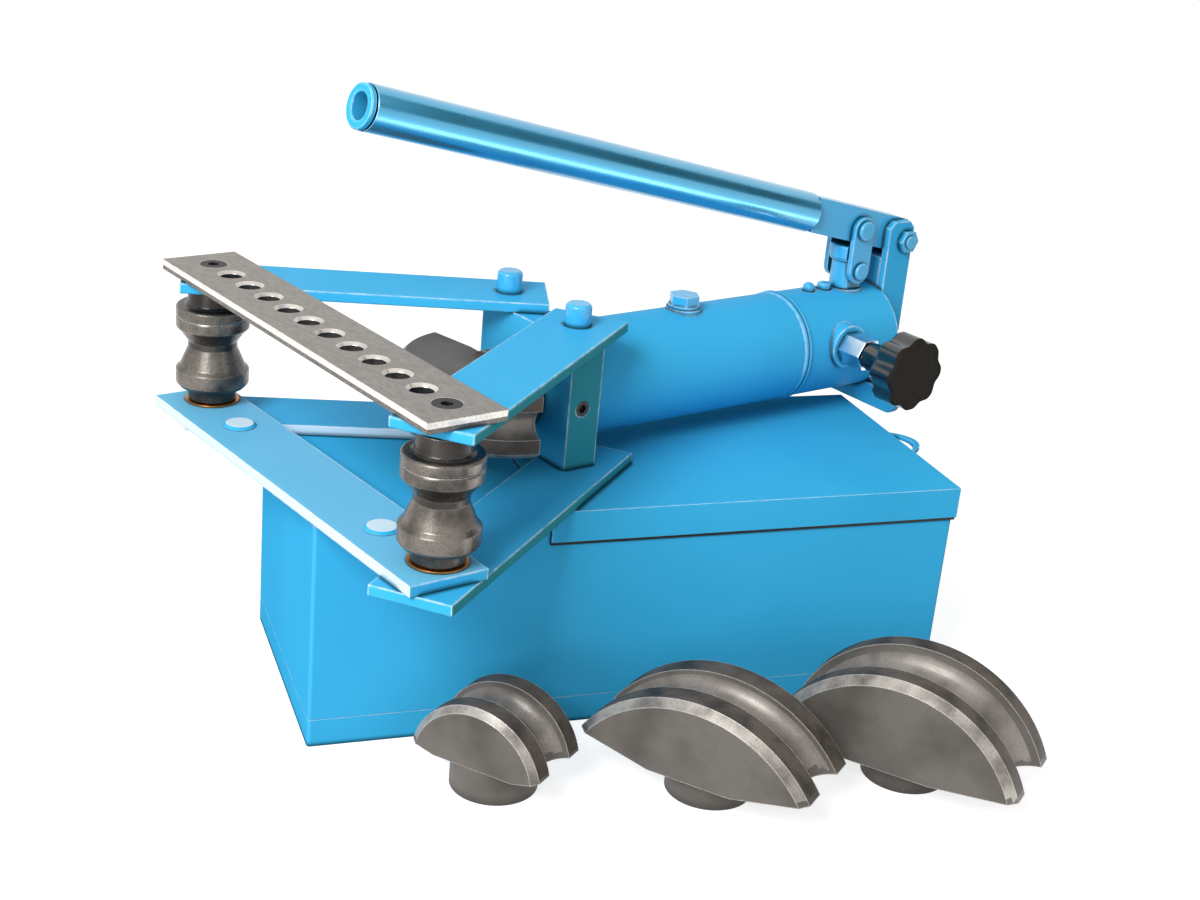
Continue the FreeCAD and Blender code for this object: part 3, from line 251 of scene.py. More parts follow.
def greyIron(name, recipe):
    # grey cast iron: sand grain and darker patches on the cast skin, fine specks where it was turned, edges
    # worn pale and partly painted as a highlight, and black oil with painted shade in the corners
    finish = newFinish(name)
    tints = {key: linear(recipe[key]) for key in ("colour", "dark", "bare", "oil")}
    place = addNode(finish, "TexCoord", {}, {}).outputs["Object"]
    grain = addNode(finish, "TexNoise", {}, {"Vector": place, "Scale": 1 / recipe["grain"], "Detail": 3.0,
                                             "Roughness": 0.65})
    patch = addNode(finish, "TexNoise", {}, {"Vector": place, "Scale": 1 / recipe["patch"], "Detail": 4.0})
    patches = addNode(finish, "MapRange", {}, {0: patch, 1: 0.4, 2: 0.7})
    body = addNode(finish, "Mix", mixing, {0: patches, 6: tints["colour"], 7: tints["dark"]})
    pits = addNode(finish, "MapRange", {}, {0: grain, 1: 0.5, 2: 0.3, 4: 0.45})
    body = addNode(finish, "Mix", mixing, {0: pits, 6: body, 7: tints["dark"]})
    # painted highlight: edges turn towards the pale edge colour, partly wear
    share, level = edgeShare(finish, recipe["edge"])
    broken = addNode(finish, "MapRange", {}, {0: grain, 1: 0.4, 2: 0.6, 3: 0.5})
    edgeWearAndLight = addNode(finish, "Math", product, {0: share, 1: broken})
    body = addNode(finish, "Mix", mixing, {0: edgeWearAndLight, 6: body, 7: tints["bare"]})
    # painted shade: corners darken towards the oil colour, partly oil
    oiledAndShaded = addNode(finish, "Math", product, {0: paintedShadeMask(finish, recipe["reach"], 0.85, 0.4), 1: 0.9})
    colour = addNode(finish, "Mix", mixing, {0: oiledAndShaded, 6: body, 7: tints["oil"]})
    bump = addNode(finish, "Bump", {}, {"Height": grain, "Distance": recipe["depth"], "Strength": 0.8})
    rough = addNode(finish, "MapRange", {}, {0: grain, 1: 0.3, 2: 0.7, 3: recipe["roughness"] - 0.08,
                                             4: recipe["roughness"] + 0.14})
    return shade(finish, {"Base Color": colour, "Metallic": recipe["metallic"], "Roughness": rough,
                          "Normal": bump})


zinc = {"colour": "#dfeefa", "mark": "#b4d2ea", "line": 0.0005, "tone": 0.01111, "roughness": 0.26}
chromeBar = {**zinc, "colour": "#d4d6d8", "mark": "#b4b8bc", "line": 0.0004, "roughness": 0.12}
washerBronze = {**zinc, "colour": "#d08a4e", "mark": "#96582a", "line": 0.0007, "roughness": 0.34}


def brightMetal(name, recipe):
    # zinc plate, hard chrome or turned bronze: clean metal with fine marks that blur its shine a little
    finish = newFinish(name)
    place = addNode(finish, "TexCoord", {}, {}).outputs["Object"]
    mark = addNode(finish, "TexNoise", {}, {"Vector": place, "Scale": 1 / recipe["line"], "Detail": 2.0})
    tone = addNode(finish, "TexNoise", {}, {"Vector": place, "Scale": 1 / recipe["tone"], "Detail": 3.0})
    toned = addNode(finish, "MapRange", {}, {0: tone, 1: 0.35, 2: 0.7, 4: 0.6})
    colour = addNode(finish, "Mix", mixing, {0: toned, 6: linear(recipe["colour"]), 7: linear(recipe["mark"])})
    rough = addNode(finish, "MapRange", {}, {0: mark, 1: 0.3, 2: 0.7, 3: recipe["roughness"] - 0.06,
                                             4: recipe["roughness"] + 0.1})
    bump = addNode(finish, "Bump", {}, {"Height": mark, "Distance": 0.00002, "Strength": 0.4})
    return shade(finish, {"Base Color": colour, "Metallic": 1.0, "Roughness": rough, "Normal": bump})


phenolic = {"colour": "#0d0b0a", "worn": "#2a2622", "haze": 0.004545, "edge": 0.0007, "roughness": 0.12,
            "shine": 1.0, "coat": 0.4}
phenolicFace = {**phenolic, "colour": "#25211d", "worn": "#25211d", "edge": 0.0008, "roughness": 0.65,
                "shine": 0.08, "coat": 0.0}
nitrile = {**phenolic, "colour": "#161413", "worn": "#2b2826", "edge": 0.0004, "roughness": 0.6, "shine": 0.3,
           "coat": 0.0}


def darkMoulding(name, recipe):
    # pressed phenolic or nitrile: near black, a polished skin that greys along the worn edges
    finish = newFinish(name)
    place = addNode(finish, "TexCoord", {}, {}).outputs["Object"]
    haze = addNode(finish, "TexNoise", {}, {"Vector": place, "Scale": 1 / recipe["haze"], "Detail": 3.0})
    share, level = edgeShare(finish, recipe["edge"])
    colour = addNode(finish, "Mix", mixing, {0: share, 6: linear(recipe["colour"]), 7: linear(recipe["worn"])})
    rough = addNode(finish, "MapRange", {}, {0: haze, 1: 0.3, 2: 0.7, 3: recipe["roughness"] - 0.04,
                                             4: recipe["roughness"] + 0.1})
    return shade(finish, {"Base Color": colour, "Roughness": rough, "Specular IOR Level": recipe["shine"],
                          "Coat Weight": recipe["coat"], "Coat Roughness": 0.08})


blueEnamel = sprayedEnamel("sprayedBlueEnamel", enamel)
barEnamel = sprayedEnamel("sprayedBlueEnamelOnBar", plateEnamel)
fittingEnamel = sprayedEnamel("glossBlueEnamel", glossEnamel)
shadedSideBlue = sprayedEnamel("blueEnamelPaintedShade", shadedEnamel)
litTopBlue = sprayedEnamel("blueEnamelPaintedLitTop", litTopEnamel)
handleEnamel = sprayedEnamel("handRubbedBlueEnamel", rubbedEnamel)
highlightBlue = sprayedEnamel("blueEnamelPaintedHighlight", highlightEnamel)
oiledBar = rolledSteel("oiledFlatBar", groundBar)
shearedHighlightEdge = rolledSteel("shearedBarEdgePaintedHighlight", shearedHighlightBar)
tornEdge = rolledSteel("tornBarEdge", tornBar)
castSkin = greyIron("sandCastIron", sandCast)
turnedRim = greyIron("turnedIronRim", turnedIron)
landIron = greyIron("oiledIronLand", oilyLand)
grooveIron = greyIron("oiledIronGroove", oilyGroove)
rollerIron = greyIron("oiledDarkIron", darkCast)
shadedRollerIron = greyIron("rollerIronPaintedShade", shadedCast)
pinSteelAndHoleShade = greyIron("blackenedPinSteelAndHoleShade", blackenedSteel)
sinkSteel = greyIron("turnedCountersink", turnedSink)
zincPlate = brightMetal("zincPlatedSteel", zinc)
hardChrome = brightMetal("groundChromedBar", chromeBar)
bronze = brightMetal("turnedBronze", washerBronze)
knobResin = darkMoulding("pressedPhenolic", phenolic)
knobFace = darkMoulding("mattPhenolicFace", phenolicFace)
sealRubber = darkMoulding("nitrileRubber", nitrile)
print("finishes made:", len(bpy.data.materials))


# Pieces. A dressed piece is a merged copy of its CAD node with its sharp edges rounded over.
def camelName(node):
    first, *rest = node.split("_")
    return first + "".join(word.capitalize() for word in rest)


def keepShape(shape, name, finishes, sharp=35):
    mesh = bpy.data.meshes.new(name)
    shape.to_mesh(mesh)
    shape.free()
    mesh.polygons.foreach_set("use_smooth", [True] * len(mesh.polygons))
    mesh.set_sharp_from_angle(angle=math.radians(sharp))
    for finish in finishes:
        mesh.materials.append(finish)
    piece = bpy.data.objects.new(name, mesh)
    bpy.context.scene.collection.objects.link(piece)
    return piece


def mergedCopy(node):
    shape = bmesh.new()
    shape.from_mesh(nodes[node].data)
    bmesh.ops.remove_doubles(shape, verts=shape.verts, dist=2e-6)
    bmesh.ops.dissolve_limit(shape, angle_limit=math.radians(0.4), verts=shape.verts, edges=shape.edges)
    return shape


def roundEdges(shape, width, steps=2, sharp=32):
    edges = [e for e in shape.edges if e.is_manifold and e.calc_face_angle(0) > math.radians(sharp)]
    bmesh.ops.bevel(shape, geom=edges, offset=width, offset_type="OFFSET", affect="EDGES", segments=steps,
                    profile=0.5, material=-1, clamp_overlap=True)


def standFor(piece, slot, *replaced):
    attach(piece, nodes[replaced[0]]["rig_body"])
    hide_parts(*replaced)
    smooth = piece.modifiers.new("flatFaces", "WEIGHTED_NORMAL")
    smooth.keep_sharp = True
    return piece


# folded sheet has a wide soft bend down each upright outer corner
def roundCorners(shape, width):
    upright = [e for e in shape.edges if e.is_manifold and e.is_convex and e.calc_face_angle(0) > 1.2
               and abs((e.verts[0].co - e.verts[1].co).z) > 0.012]
    bmesh.ops.bevel(shape, geom=upright, offset=width, offset_type="OFFSET", affect="EDGES", segments=4,
                    profile=0.5, material=-1, clamp_overlap=True)


def dress(group, choose=None):
    for node in group["nodes"]:
        shape = mergedCopy(node)
        if "first" in group:
            group["first"](shape)
        if choose:
            for face in shape.faces:
                face.material_index = choose(node, face)
        if "corner" in group:
            roundCorners(shape, group["corner"])
        roundEdges(shape, group["edge"], group.get("steps", 2))
        standFor(keepShape(shape, camelName(node), group["finishes"]), group["slot"], node)


plates = {"nodes": ("lower_arm_right", "lower_arm_left", "upper_arm_right", "upper_arm_left", "cross_bar",
                    "fulcrum_plate_right", "fulcrum_plate_left", "rear_foot"),
          "edge": 0.0014, "finishes": (barEnamel, highlightBlue, shadedSideBlue, litTopBlue),
          "slot": "blue_paint"}
litSidedNodes = ("lower_arm_left", "cross_bar")


# the bars' sides facing the open side of the frame get a painted highlight, and the right-hand bars' sides
# facing the pump get painted shade;
# the cross bar's top gets a paler enamel as a painted highlight
def onLitOrShadedFace(node, face):
    if abs(face.normal.z) > 0.3:
        return 3 if node == "cross_bar" else 0
    if node in litSidedNodes and face.normal.x < -0.4:
        return 1
    return 2 if face.normal.x > 0.3 and node.endswith("right") else 0


dress(plates, onLitOrShadedFace)


# the block's faces under the handle get painted shade, its open side and top are as plain as the bars
def onBlock(node, face):
    return 0 if face.normal.x < -0.5 or face.normal.z > 0.5 else 1


block = {"nodes": ("crosshead",), "edge": 0.0016, "finishes": (barEnamel, shadedSideBlue), "slot": "blue_paint"}
dress(block, onBlock)


# the tops of the plugs and deck bolts take the near-white enamel: a painted highlight
def onTop(node, face):
    return 1 if face.normal.z > 0.9 else 0


barDiscs = {"nodes": ("bar_plugs", "deck_bolts"), "edge": 0.0007, "finishes": (blueEnamel, highlightBlue),
            "slot": "blue_paint"}
dress(barDiscs, onTop)

deckPlate = {"nodes": ("case_deck",), "edge": 0.0009, "steps": 3, "finishes": (blueEnamel,),
             "slot": "blue_paint"}
dress(deckPlate)


# the pull is a shorter loop than its plain solid, along the lid's end
def shortenPull(shape):
    middle = sum((vert.co for vert in shape.verts), Vector()) / len(shape.verts)
    for vert in shape.verts:
        vert.co -= caseAcross * (vert.co - middle).dot(caseAcross) * pull["shorter"]


caseAlong, caseAcross = Vector((0.9516, -0.3074, 0)), Vector((0.3074, 0.9516, 0))
pull = {"nodes": ("lid_pull",), "edge": 0.0009, "finishes": (blueEnamel,), "slot": "blue_paint",
        "first": shortenPull, "shorter": 0.34}
dress(pull)

tubes = {"nodes": ("reservoir_tube", "pump_block"), "edge": 0.0010, "finishes": (barEnamel,),
         "slot": "blue_paint"}
dress(tubes)

foldedSheet = {"nodes": ("bottom_pan", "case_body", "lid"), "edge": 0.0007, "corner": 0.0028,
               "finishes": (blueEnamel,), "slot": "blue_paint"}
dress(foldedSheet)

paintedFittings = {"nodes": ("crosshead_pin_right", "crosshead_pin_left", "filler_plug", "bleed_screw",
                             "relief_valve_cap", "fulcrum_bolt", "fulcrum_nut", "lever_bar",
                             "pump_link_right", "pump_link_left", "link_pin_bottom", "link_pin_top",
                             "plunger_sleeve", "plunger_cap"),
                   "edge": 0.0008, "finishes": (fittingEnamel,), "slot": "blue_paint"}
dress(paintedFittings)

handle = {"nodes": ("handle_tube",), "edge": 0.0008, "finishes": (handleEnamel,), "slot": "blue_paint"}
dress(handle)
print("painted pieces dressed")


# The strap's sides were sheared: near-white where the blade cut, painted as a highlight, torn and dark below.
strapLow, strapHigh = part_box("top_strap")
tornShare = 0.42
splitLevel = strapLow[2] + tornShare * (strapHigh[2] - strapLow[2])


def splitSides(shape):
    everything = shape.verts[:] + shape.edges[:] + shape.faces[:]
    bmesh.ops.bisect_plane(shape, geom=everything, dist=1e-6, plane_co=(0, 0, splitLevel), plane_no=(0, 0, 1))


# The strap's countersinks are bright cones, its holes are painted near-black inside as painted shade, and its
# top is ground.
def onStrap(node, face):
    if abs(face.normal.z) > 0.95:
        return 0
    if abs(face.normal.z) > 0.3:
        return 1
    if max((vert.co - face.calc_center_median()).length for vert in face.verts) < 0.012:
        # hole walls: the blackened steel here is painted shade
        return 2
    return 3 if face.calc_center_median().z > splitLevel else 4


strap = {"nodes": ("top_strap",), "edge": 0.0008, "finishes": (oiledBar, sinkSteel, pinSteelAndHoleShade, shearedHighlightEdge,
         tornEdge), "slot": "strap_steel", "first": splitSides}
dress(strap, onStrap)

pins = {"nodes": ("roller_pin_right", "roller_pin_left", "crosshead_screws"), "edge": 0.0005,
        "finishes": (pinSteelAndHoleShade,), "slot": "dark_casting"}
dress(pins)

# Rollers: foot, lower lip, cone, waist, cone and a deep upper lip with a fine turned groove, in millimetres
roller = {"outline": ((8.1, 0), (17.6, 0), (18.5, 0.9), (18.5, 9.6), (24.9, 10.4), (28, 14), (28, 24.8),
                      (24.9, 27.9), (18.8, 42.3), (18.8, 47.5), (24.5, 55.6), (28, 59), (28, 66.2),
                      (26.9, 67.2), (28, 68.2), (28, 74.6), (26.6, 76), (21.5, 76), (19.5, 78), (18.5, 90),
                      (8.1, 90)),
          "around": 72, "edge": 0.0007, "shadedCone": (0.0435, 0.0585), "shadedTop": 0.0765}


def makeRoller(node):
    low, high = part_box(node)
    shape = bmesh.new()
    corners = [shape.verts.new((across / 1000, 0, up / 1000)) for across, up in roller["outline"]]
    for first, second in zip(corners, corners[1:] + corners[:1]):
        shape.edges.new((first, second))
    bmesh.ops.spin(shape, geom=shape.edges[:], cent=(0, 0, 0), axis=(0, 0, 1), dvec=(0, 0, 0),
                   angle=2 * math.pi, steps=roller["around"], use_merge=True)
    bmesh.ops.remove_doubles(shape, verts=shape.verts, dist=1e-6)
    bmesh.ops.recalc_face_normals(shape, faces=shape.faces)
    roundEdges(shape, roller["edge"], 2, 18)
    # the cone under the upper lip and the top of the roller get a darker iron as painted shade
    for face in shape.faces:
        level = face.calc_center_median().z
        inCone = roller["shadedCone"][0] < level < roller["shadedCone"][1]
        face.material_index = 1 if inCone or level > roller["shadedTop"] else 0
    middle = ((low[0] + high[0]) / 2, (low[1] + high[1]) / 2, low[2])
    bmesh.ops.translate(shape, verts=shape.verts, vec=middle)
    standFor(keepShape(shape, camelName(node), (rollerIron, shadedRollerIron)), "dark_casting", node)


makeRoller("roller_right")
makeRoller("roller_left")


# A former's flanks stay as cast, its two lands beside the groove are turned, and the groove is dark with oil
# and painted shade.
# The flanks face along the former's thickness, and only the groove lies further in than the lands.
def onCrown(node, face):
    cut = crowns[node]
    lean = abs(face.normal.dot(cut["across"]))
    if lean > 0.97 or (face.calc_center_median() - cut["stub"]).dot(cut["up"]) < 0:
        return 0
    if abs((face.calc_center_median() - cut["stub"]).dot(cut["across"])) < cut["groove"]:
        return 2
    return 1 if lean > 0.25 else 3


looseTurn = Matrix.Rotation(math.radians(-65.5), 3, "Z")
looseAcross = looseTurn @ Vector((0, 1, 0))
upwards = Vector((0, 0, 1))
crowns = {"mounted_former": {"across": upwards, "up": Vector((-1, 0, 0)), "stub": Vector((-0.050, 0, 0.234)),
                             "groove": 0.0106},
          "former_small": {"across": looseAcross, "up": upwards, "stub": Vector((-0.1254, -0.154, 0.034)),
                           "groove": 0.0137},
          "former_medium": {"across": looseAcross, "up": upwards, "stub": Vector((0.008, -0.2358, 0.038)),
                            "groove": 0.0157},
          "former_large": {"across": looseAcross, "up": upwards, "stub": Vector((0.1529, -0.2928, 0.03)),
                           "groove": 0.0217}}
formers = {"nodes": ("mounted_former", "former_small", "former_medium", "former_large"), "edge": 0.0014,
           "finishes": (castSkin, turnedRim, grooveIron, landIron), "slot": "dark_casting"}
dress(formers, onCrown)
print("castings dressed")


# The valve's gland nut reaches further along its spindle than the plain solid does
def stretchGland(shape):
    front = min(vert.co.y for vert in shape.verts)
    for vert in shape.verts:
        if vert.co.y < front + gland["face"]:
            vert.co.y -= gland["longer"]


gland = {"nodes": ("release_gland",), "edge": 0.0008, "finishes": (zincPlate,), "slot": "bright_steel",
         "first": stretchGland, "face": 0.003, "longer": 0.012}
dress(gland)
bright = {"nodes": ("release_spindle", "deck_nuts", "pressure_cylinder", "pump_gland", "ram_piston"),
          "edge": 0.0005, "finishes": (zincPlate,), "slot": "bright_steel"}
dress(bright)
chromed = {"nodes": ("ram_rod", "pump_plunger"), "edge": 0.0005, "finishes": (hardChrome,),
           "slot": "ground_steel"}
dress(chromed)
bronzes = {"nodes": ("rod_guide_bush",), "edge": 0.0003, "finishes": (bronze,), "slot": "bronze"}
dress(bronzes)

# Thrust washers: worn back until only a thin rim shows round each roller's foot
washers = {"rim": 0.0208, "edge": 0.0003}


def makeWashers():
    low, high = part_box("roller_washers")
    shape = mergedCopy("roller_washers")
    reach = (high[0] - low[0]) / 2
    for vert in shape.verts:
        side = high[1] - reach if vert.co.y > 0 else low[1] + reach
        arm = Vector((vert.co.x - low[0] - reach, vert.co.y - side))
        if arm.length > 0.7 * reach:
            vert.co.x -= arm.x * (1 - washers["rim"] / arm.length)
            vert.co.y -= arm.y * (1 - washers["rim"] / arm.length)
    roundEdges(shape, washers["edge"])
    standFor(keepShape(shape, "rollerWashers", (bronze,)), "bronze", "roller_washers")


makeWashers()
seals = {"nodes": ("rod_wiper", "piston_seal"), "edge": 0.0004, "finishes": (sealRubber,),
         "slot": "seal_rubber"}
dress(seals)
print("bright pieces dressed")


# Release knob: eight blunt corners with shallow hollows between them, round a dished face
knob = {"centre": (0.291, 0.2415), "face": -0.126, "length": 0.034, "radius": 0.0312, "lobes": 8, "dip": 0.0034,
        "round": 0.0034, "hub": 0.0155, "neck": 0.0118, "hubLength": 0.0290, "dish": 0.0006, "steps": 12}


def lobedRadius(angle, radius):
    hollow = (0.5 - 0.5 * math.cos(knob["lobes"] * angle)) ** 1.3
    return radius - knob["dip"] * hollow * radius / knob["radius"]


def makeKnob():
    shape = bmesh.new()
    count = knob["lobes"] * knob["steps"]
    depth = knob["length"]
    back = 0.25 * depth
    levels = [(back, 0.86), (back + 0.3 * knob["round"], 0.96), (back + knob["round"], 1.0),
              (depth - knob["round"], 1.0), (depth - 0.3 * knob["round"], 0.955), (depth, 0.86)]
    made = bmesh.ops.create_circle(shape, cap_ends=True, radius=knob["radius"], segments=count)
    lobe = {}
    for vert in made["verts"]:
        angle = math.atan2(vert.co.y, vert.co.x)
        lobe[vert.index] = lobedRadius(angle, knob["radius"]) / knob["radius"]
        vert.co *= lobe[vert.index]
    for vert in shape.verts:
        vert.co *= levels[0][1]
        vert.co.z = levels[0][0]
    top = list(shape.faces)
    last = levels[0]
    for height, scale in levels[1:]:
        grown = bmesh.ops.extrude_face_region(shape, geom=top)
        verts = [item for item in grown["geom"] if isinstance(item, bmesh.types.BMVert)]
        top = [item for item in grown["geom"] if isinstance(item, bmesh.types.BMFace)]
        bmesh.ops.scale(shape, verts=verts, vec=(scale / last[1], scale / last[1], 1))
        bmesh.ops.translate(shape, verts=verts, vec=(0, 0, height - last[0]))
        last = (height, scale)
    bmesh.ops.inset_region(shape, faces=top, thickness=0.0014, depth=-knob["dish"])
    for face in shape.faces:
        face.material_index = 1 if face.normal.z > 0.25 and face.calc_center_median().z > 0.8 * depth else 0
    hub = bmesh.ops.create_cone(shape, cap_ends=True, segments=48, radius1=knob["neck"], radius2=knob["hub"],
                                depth=knob["hubLength"])
    bmesh.ops.translate(shape, verts=hub["verts"], vec=(0, 0, 0.3 * depth - knob["hubLength"] / 2))
    bmesh.ops.recalc_face_normals(shape, faces=shape.faces)
    # the knob's own axis points to its face, towards -Y
    place = Matrix.Translation((knob["centre"][0], knob["face"] + depth, knob["centre"][1]))
    bmesh.ops.transform(shape, verts=shape.verts, matrix=place @ Matrix.Rotation(math.pi / 2, 4, "X"))
    return standFor(keepShape(shape, "releaseKnob", (knobResin, knobFace), 50), "black_plastic", "release_knob")


makeKnob()


# Return spring: a helix between the guide bush and the piston
spring = {"start": 0.016, "end": 0.201, "height": 0.234, "mean": 0.0245, "wire": 0.00215, "turns": 11,
          "steps": 28, "squeezed": 0.405}


def makeSpring():
    shape = bmesh.new()
    circle = bmesh.ops.create_circle(shape, cap_ends=False, radius=spring["wire"], segments=8)
    bmesh.ops.rotate(shape, verts=circle["verts"], cent=(0, 0, 0), matrix=Matrix.Rotation(math.pi / 2, 3, "Z"))
    bmesh.ops.translate(shape, verts=circle["verts"], vec=(spring["start"] + spring["wire"], 0, 0))
    bmesh.ops.translate(shape, verts=circle["verts"], vec=(0, spring["mean"], 0))
    count = spring["turns"] * spring["steps"]
    run = spring["end"] - spring["start"] - 2 * spring["wire"]
    bmesh.ops.spin(shape, geom=shape.edges[:], cent=(0, 0, 0), axis=(1, 0, 0), dvec=(run / count, 0, 0),
                   angle=2 * math.pi * spring["turns"], steps=count)
    bmesh.ops.holes_fill(shape, edges=[e for e in shape.edges if e.is_boundary])
    bmesh.ops.recalc_face_normals(shape, faces=shape.faces)
    bmesh.ops.translate(shape, verts=shape.verts, vec=(0, 0, spring["height"]))
    piece = keepShape(shape, "returnSpring", (zincPlate,), 60)
    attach(piece, "bender")
    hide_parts("return_spring")
    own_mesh(piece)


makeSpring()
print("knob and spring made")


# Weld ring where the reservoir tube meets the pump block
weld = {"place": 0.249, "height": 0.234, "radius": 0.0447, "bead": 0.0017, "ripple": 0.0003, "count": 96}


def makeWeld():
    shape = bmesh.new()
    made = bmesh.ops.create_circle(shape, cap_ends=False, radius=weld["bead"], segments=10)
    bmesh.ops.translate(shape, verts=made["verts"], vec=(0, weld["radius"], 0))
    bmesh.ops.spin(shape, geom=shape.edges[:], cent=(0, 0, 0), axis=(1, 0, 0), dvec=(0, 0, 0),
                   angle=2 * math.pi, steps=weld["count"] * 3, use_merge=True)
    bmesh.ops.remove_doubles(shape, verts=shape.verts, dist=1e-6)
    for vert in shape.verts:
        around = math.atan2(vert.co.z, vert.co.y)
        swell = 1 + weld["ripple"] * math.cos(weld["count"] * around + 900 * vert.co.x) / weld["radius"]
        vert.co.y *= swell
        vert.co.z *= swell
    bmesh.ops.recalc_face_normals(shape, faces=shape.faces)
    bmesh.ops.translate(shape, verts=shape.verts, vec=(weld["place"], 0, weld["height"]))
    piece = keepShape(shape, "weldRing", (blueEnamel,), 60)
    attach(piece, "bender")


makeWeld()

# A black strip under the lid's skirt is painted shadow in the gap; it stands on the case, level with the
# skirt's edge
shadowStrip = {"out": 0.0012, "drop": 0.0024}


def makeShadowStrip():
    body = [vert.co for vert in nodes["case_body"].data.vertices]
    cover = [vert.co for vert in nodes["lid"].data.vertices]
    left, right = (pick(co.dot(caseAlong) for co in cover) for pick in (min, max))
    right = min(right, max(co.dot(caseAlong) for co in body) + shadowStrip["out"])
    near = min(co.dot(caseAcross) for co in body) - shadowStrip["out"]
    far = max(co.dot(caseAcross) for co in body) + shadowStrip["out"]
    top = min(co.z for co in cover)
    shape = bmesh.new()
    for spans in (((left, right), (near, near + shadowStrip["out"])), ((left, right), (far - shadowStrip["out"], far)),
                  ((right - shadowStrip["out"], right), (near, far))):
        made = bmesh.ops.create_cube(shape, size=1)
        for vert in made["verts"]:
            u = spans[0][1] if vert.co.x > 0 else spans[0][0]
            v = spans[1][1] if vert.co.y > 0 else spans[1][0]
            up = top if vert.co.z > 0 else top - shadowStrip["drop"]
            vert.co = caseAlong * u + caseAcross * v + Vector((0, 0, up))
    bmesh.ops.recalc_face_normals(shape, faces=shape.faces)
    # the black rubber finish here is painted shadow
    piece = keepShape(shape, "lidShadowStrip", (sealRubber,))
    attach(piece, "bender")


makeShadowStrip()

# Handle end: a turned collar pressed into the tube, with a chamfered mouth; its outline is in millimetres
collar = {"mouth": (-0.1625, 0, 0.4564), "along": (-0.97, 0, 0.2429), "around": 64,
          "outline": ((9.8, -8), (14.0, -8), (14.0, 0.7), (15.5, 0.7), (16.2, 1.4), (16.2, 4.2), (15.4, 5),
                      (10.8, 5), (9.8, 4.2))}


def makeCollar():
    shape = bmesh.new()
    corners = [shape.verts.new((across / 1000, 0, up / 1000)) for across, up in collar["outline"]]
    for first, second in zip(corners, corners[1:] + corners[:1]):
        shape.edges.new((first, second))
    bmesh.ops.spin(shape, geom=shape.edges[:], cent=(0, 0, 0), axis=(0, 0, 1), dvec=(0, 0, 0),
                   angle=2 * math.pi, steps=collar["around"], use_merge=True)
    bmesh.ops.remove_doubles(shape, verts=shape.verts, dist=1e-6)
    bmesh.ops.recalc_face_normals(shape, faces=shape.faces)
    turn = Vector(collar["along"]).to_track_quat("Z", "Y").to_matrix().to_4x4()
    bmesh.ops.transform(shape, verts=shape.verts, matrix=Matrix.Translation(collar["mouth"]) @ turn)
    piece = keepShape(shape, "handleCollar", (blueEnamel,), 25)
    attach(piece, nodes["handle_tube"]["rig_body"])


makeCollar()
print("weld and collar made")

# Stage: white floor and air, one soft key lamp from the upper left and a weak low fill beside it
stage = {"aim": (0, -0.05, 0.2), "floor": "#b8b8b8", "air": 0.53, "airColour": "#fffcf5", "glow": 0.77,
         "lamps": (("key", (-2.2, -1.0, 2.08), (1.2, 1.2), 74), ("fill", (-1.75, -0.8, 0.42), (0.8, 0.8), 7))}
# Two cards that only reflections show: one draws the handle's dark line, the one on the floor its pale line
cards = {"darkCard": {"corners": ((0.436, -0.049, 1.116), (0.313, -0.74, 0.624), (1.064, -0.547, 0.442),
                                  (1.131, -0.245, 0.713)), "glow": 0.0},
         "paleCard": {"corners": ((0.22, -0.822, 0.003), (0.049, -0.472, 0.003), (0.695, -0.286, 0.003),
                                  (0.852, -0.463, 0.003)), "glow": 4.0}}


def seenRays(tree):
    path = addNode(tree, "LightPath", {}, {}).outputs
    mirrored = addNode(tree, "Math", {"operation": "MAXIMUM"}, {0: path["Is Glossy Ray"],
                                                                1: path["Is Transmission Ray"]})
    return addNode(tree, "Math", {"operation": "MAXIMUM"}, {0: path["Is Camera Ray"], 1: mirrored})


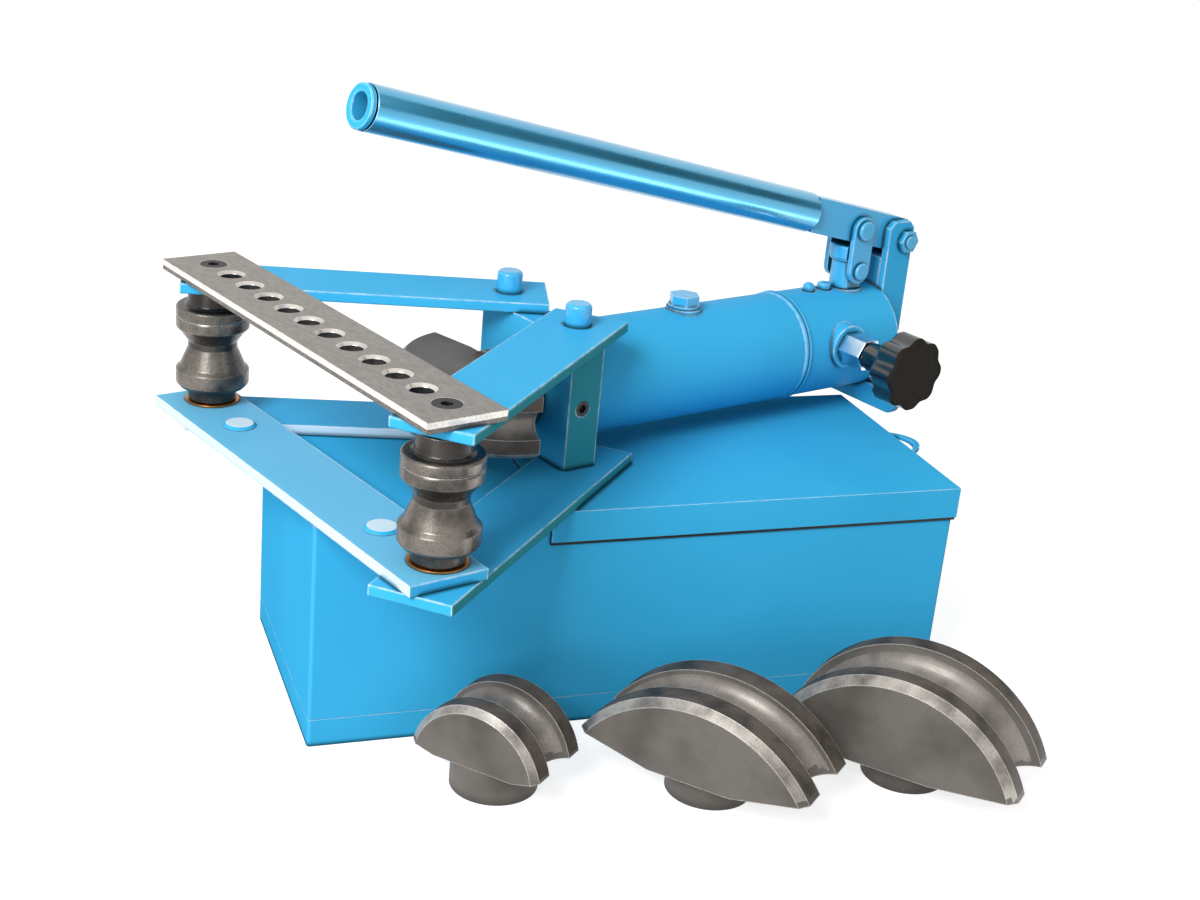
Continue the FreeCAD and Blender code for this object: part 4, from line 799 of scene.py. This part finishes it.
def addStage():
    floorShape = bmesh.new()
    bmesh.ops.create_grid(floorShape, x_segments=1, y_segments=1, size=6)
    finish = newFinish("paperFloor")
    # matt white paper; the camera sees it a little lighter than it is lit, so that only the shadow stays grey
    paper = addNode(finish, "BsdfDiffuse", {}, {"Color": linear(stage["floor"])})
    glow = addNode(finish, "Emission", {}, {"Color": (1, 1, 1, 1), "Strength": stage["glow"]})
    lit = addNode(finish, "AddShader", {}, {0: paper, 1: glow})
    surface = addNode(finish, "MixShader", {}, {0: seenRays(finish), 1: paper, 2: lit})
    addNode(finish, "OutputMaterial", {}, {"Surface": surface})
    floor = keepShape(floorShape, "floor", (finish,))
    world = bpy.data.worlds.new("studio")
    bpy.context.scene.world = world
    world.use_nodes = True
    world.node_tree.nodes.clear()
    strength = addNode(world, "MapRange", {}, {0: seenRays(world), 3: stage["air"]})
    tone = addNode(world, "Mix", mixing, {0: seenRays(world), 6: linear(stage["airColour"]), 7: (1, 1, 1, 1)})
    air = addNode(world, "Background", {}, {"Color": tone, "Strength": strength})
    addNode(world, "OutputWorld", {}, {"Surface": air})
    for name, spot, size, power in stage["lamps"]:
        lamp = bpy.data.objects.new(name, bpy.data.lights.new(name, "AREA"))
        lamp.data.shape = "RECTANGLE"
        lamp.data.size, lamp.data.size_y = size
        lamp.data.energy = power
        lamp.location = spot
        lamp.rotation_mode = "QUATERNION"
        lamp.rotation_quaternion = (Vector(spot) - Vector(stage["aim"])).to_track_quat("Z", "Y")
        bpy.context.scene.collection.objects.link(lamp)


def addCard(name, card):
    shape = bmesh.new()
    shape.faces.new([shape.verts.new(corner) for corner in card["corners"]])
    finish = newFinish(name)
    glow = addNode(finish, "Emission", {}, {"Color": (1, 1, 1, 1), "Strength": card["glow"]})
    addNode(finish, "OutputMaterial", {}, {"Surface": glow})
    piece = keepShape(shape, name, (finish,))
    piece.visible_camera = piece.visible_diffuse = piece.visible_shadow = piece.visible_transmission = False


for name, card in cards.items():
    addCard(name, card)
addStage()
bpy.context.scene.view_settings.view_transform = "Standard"
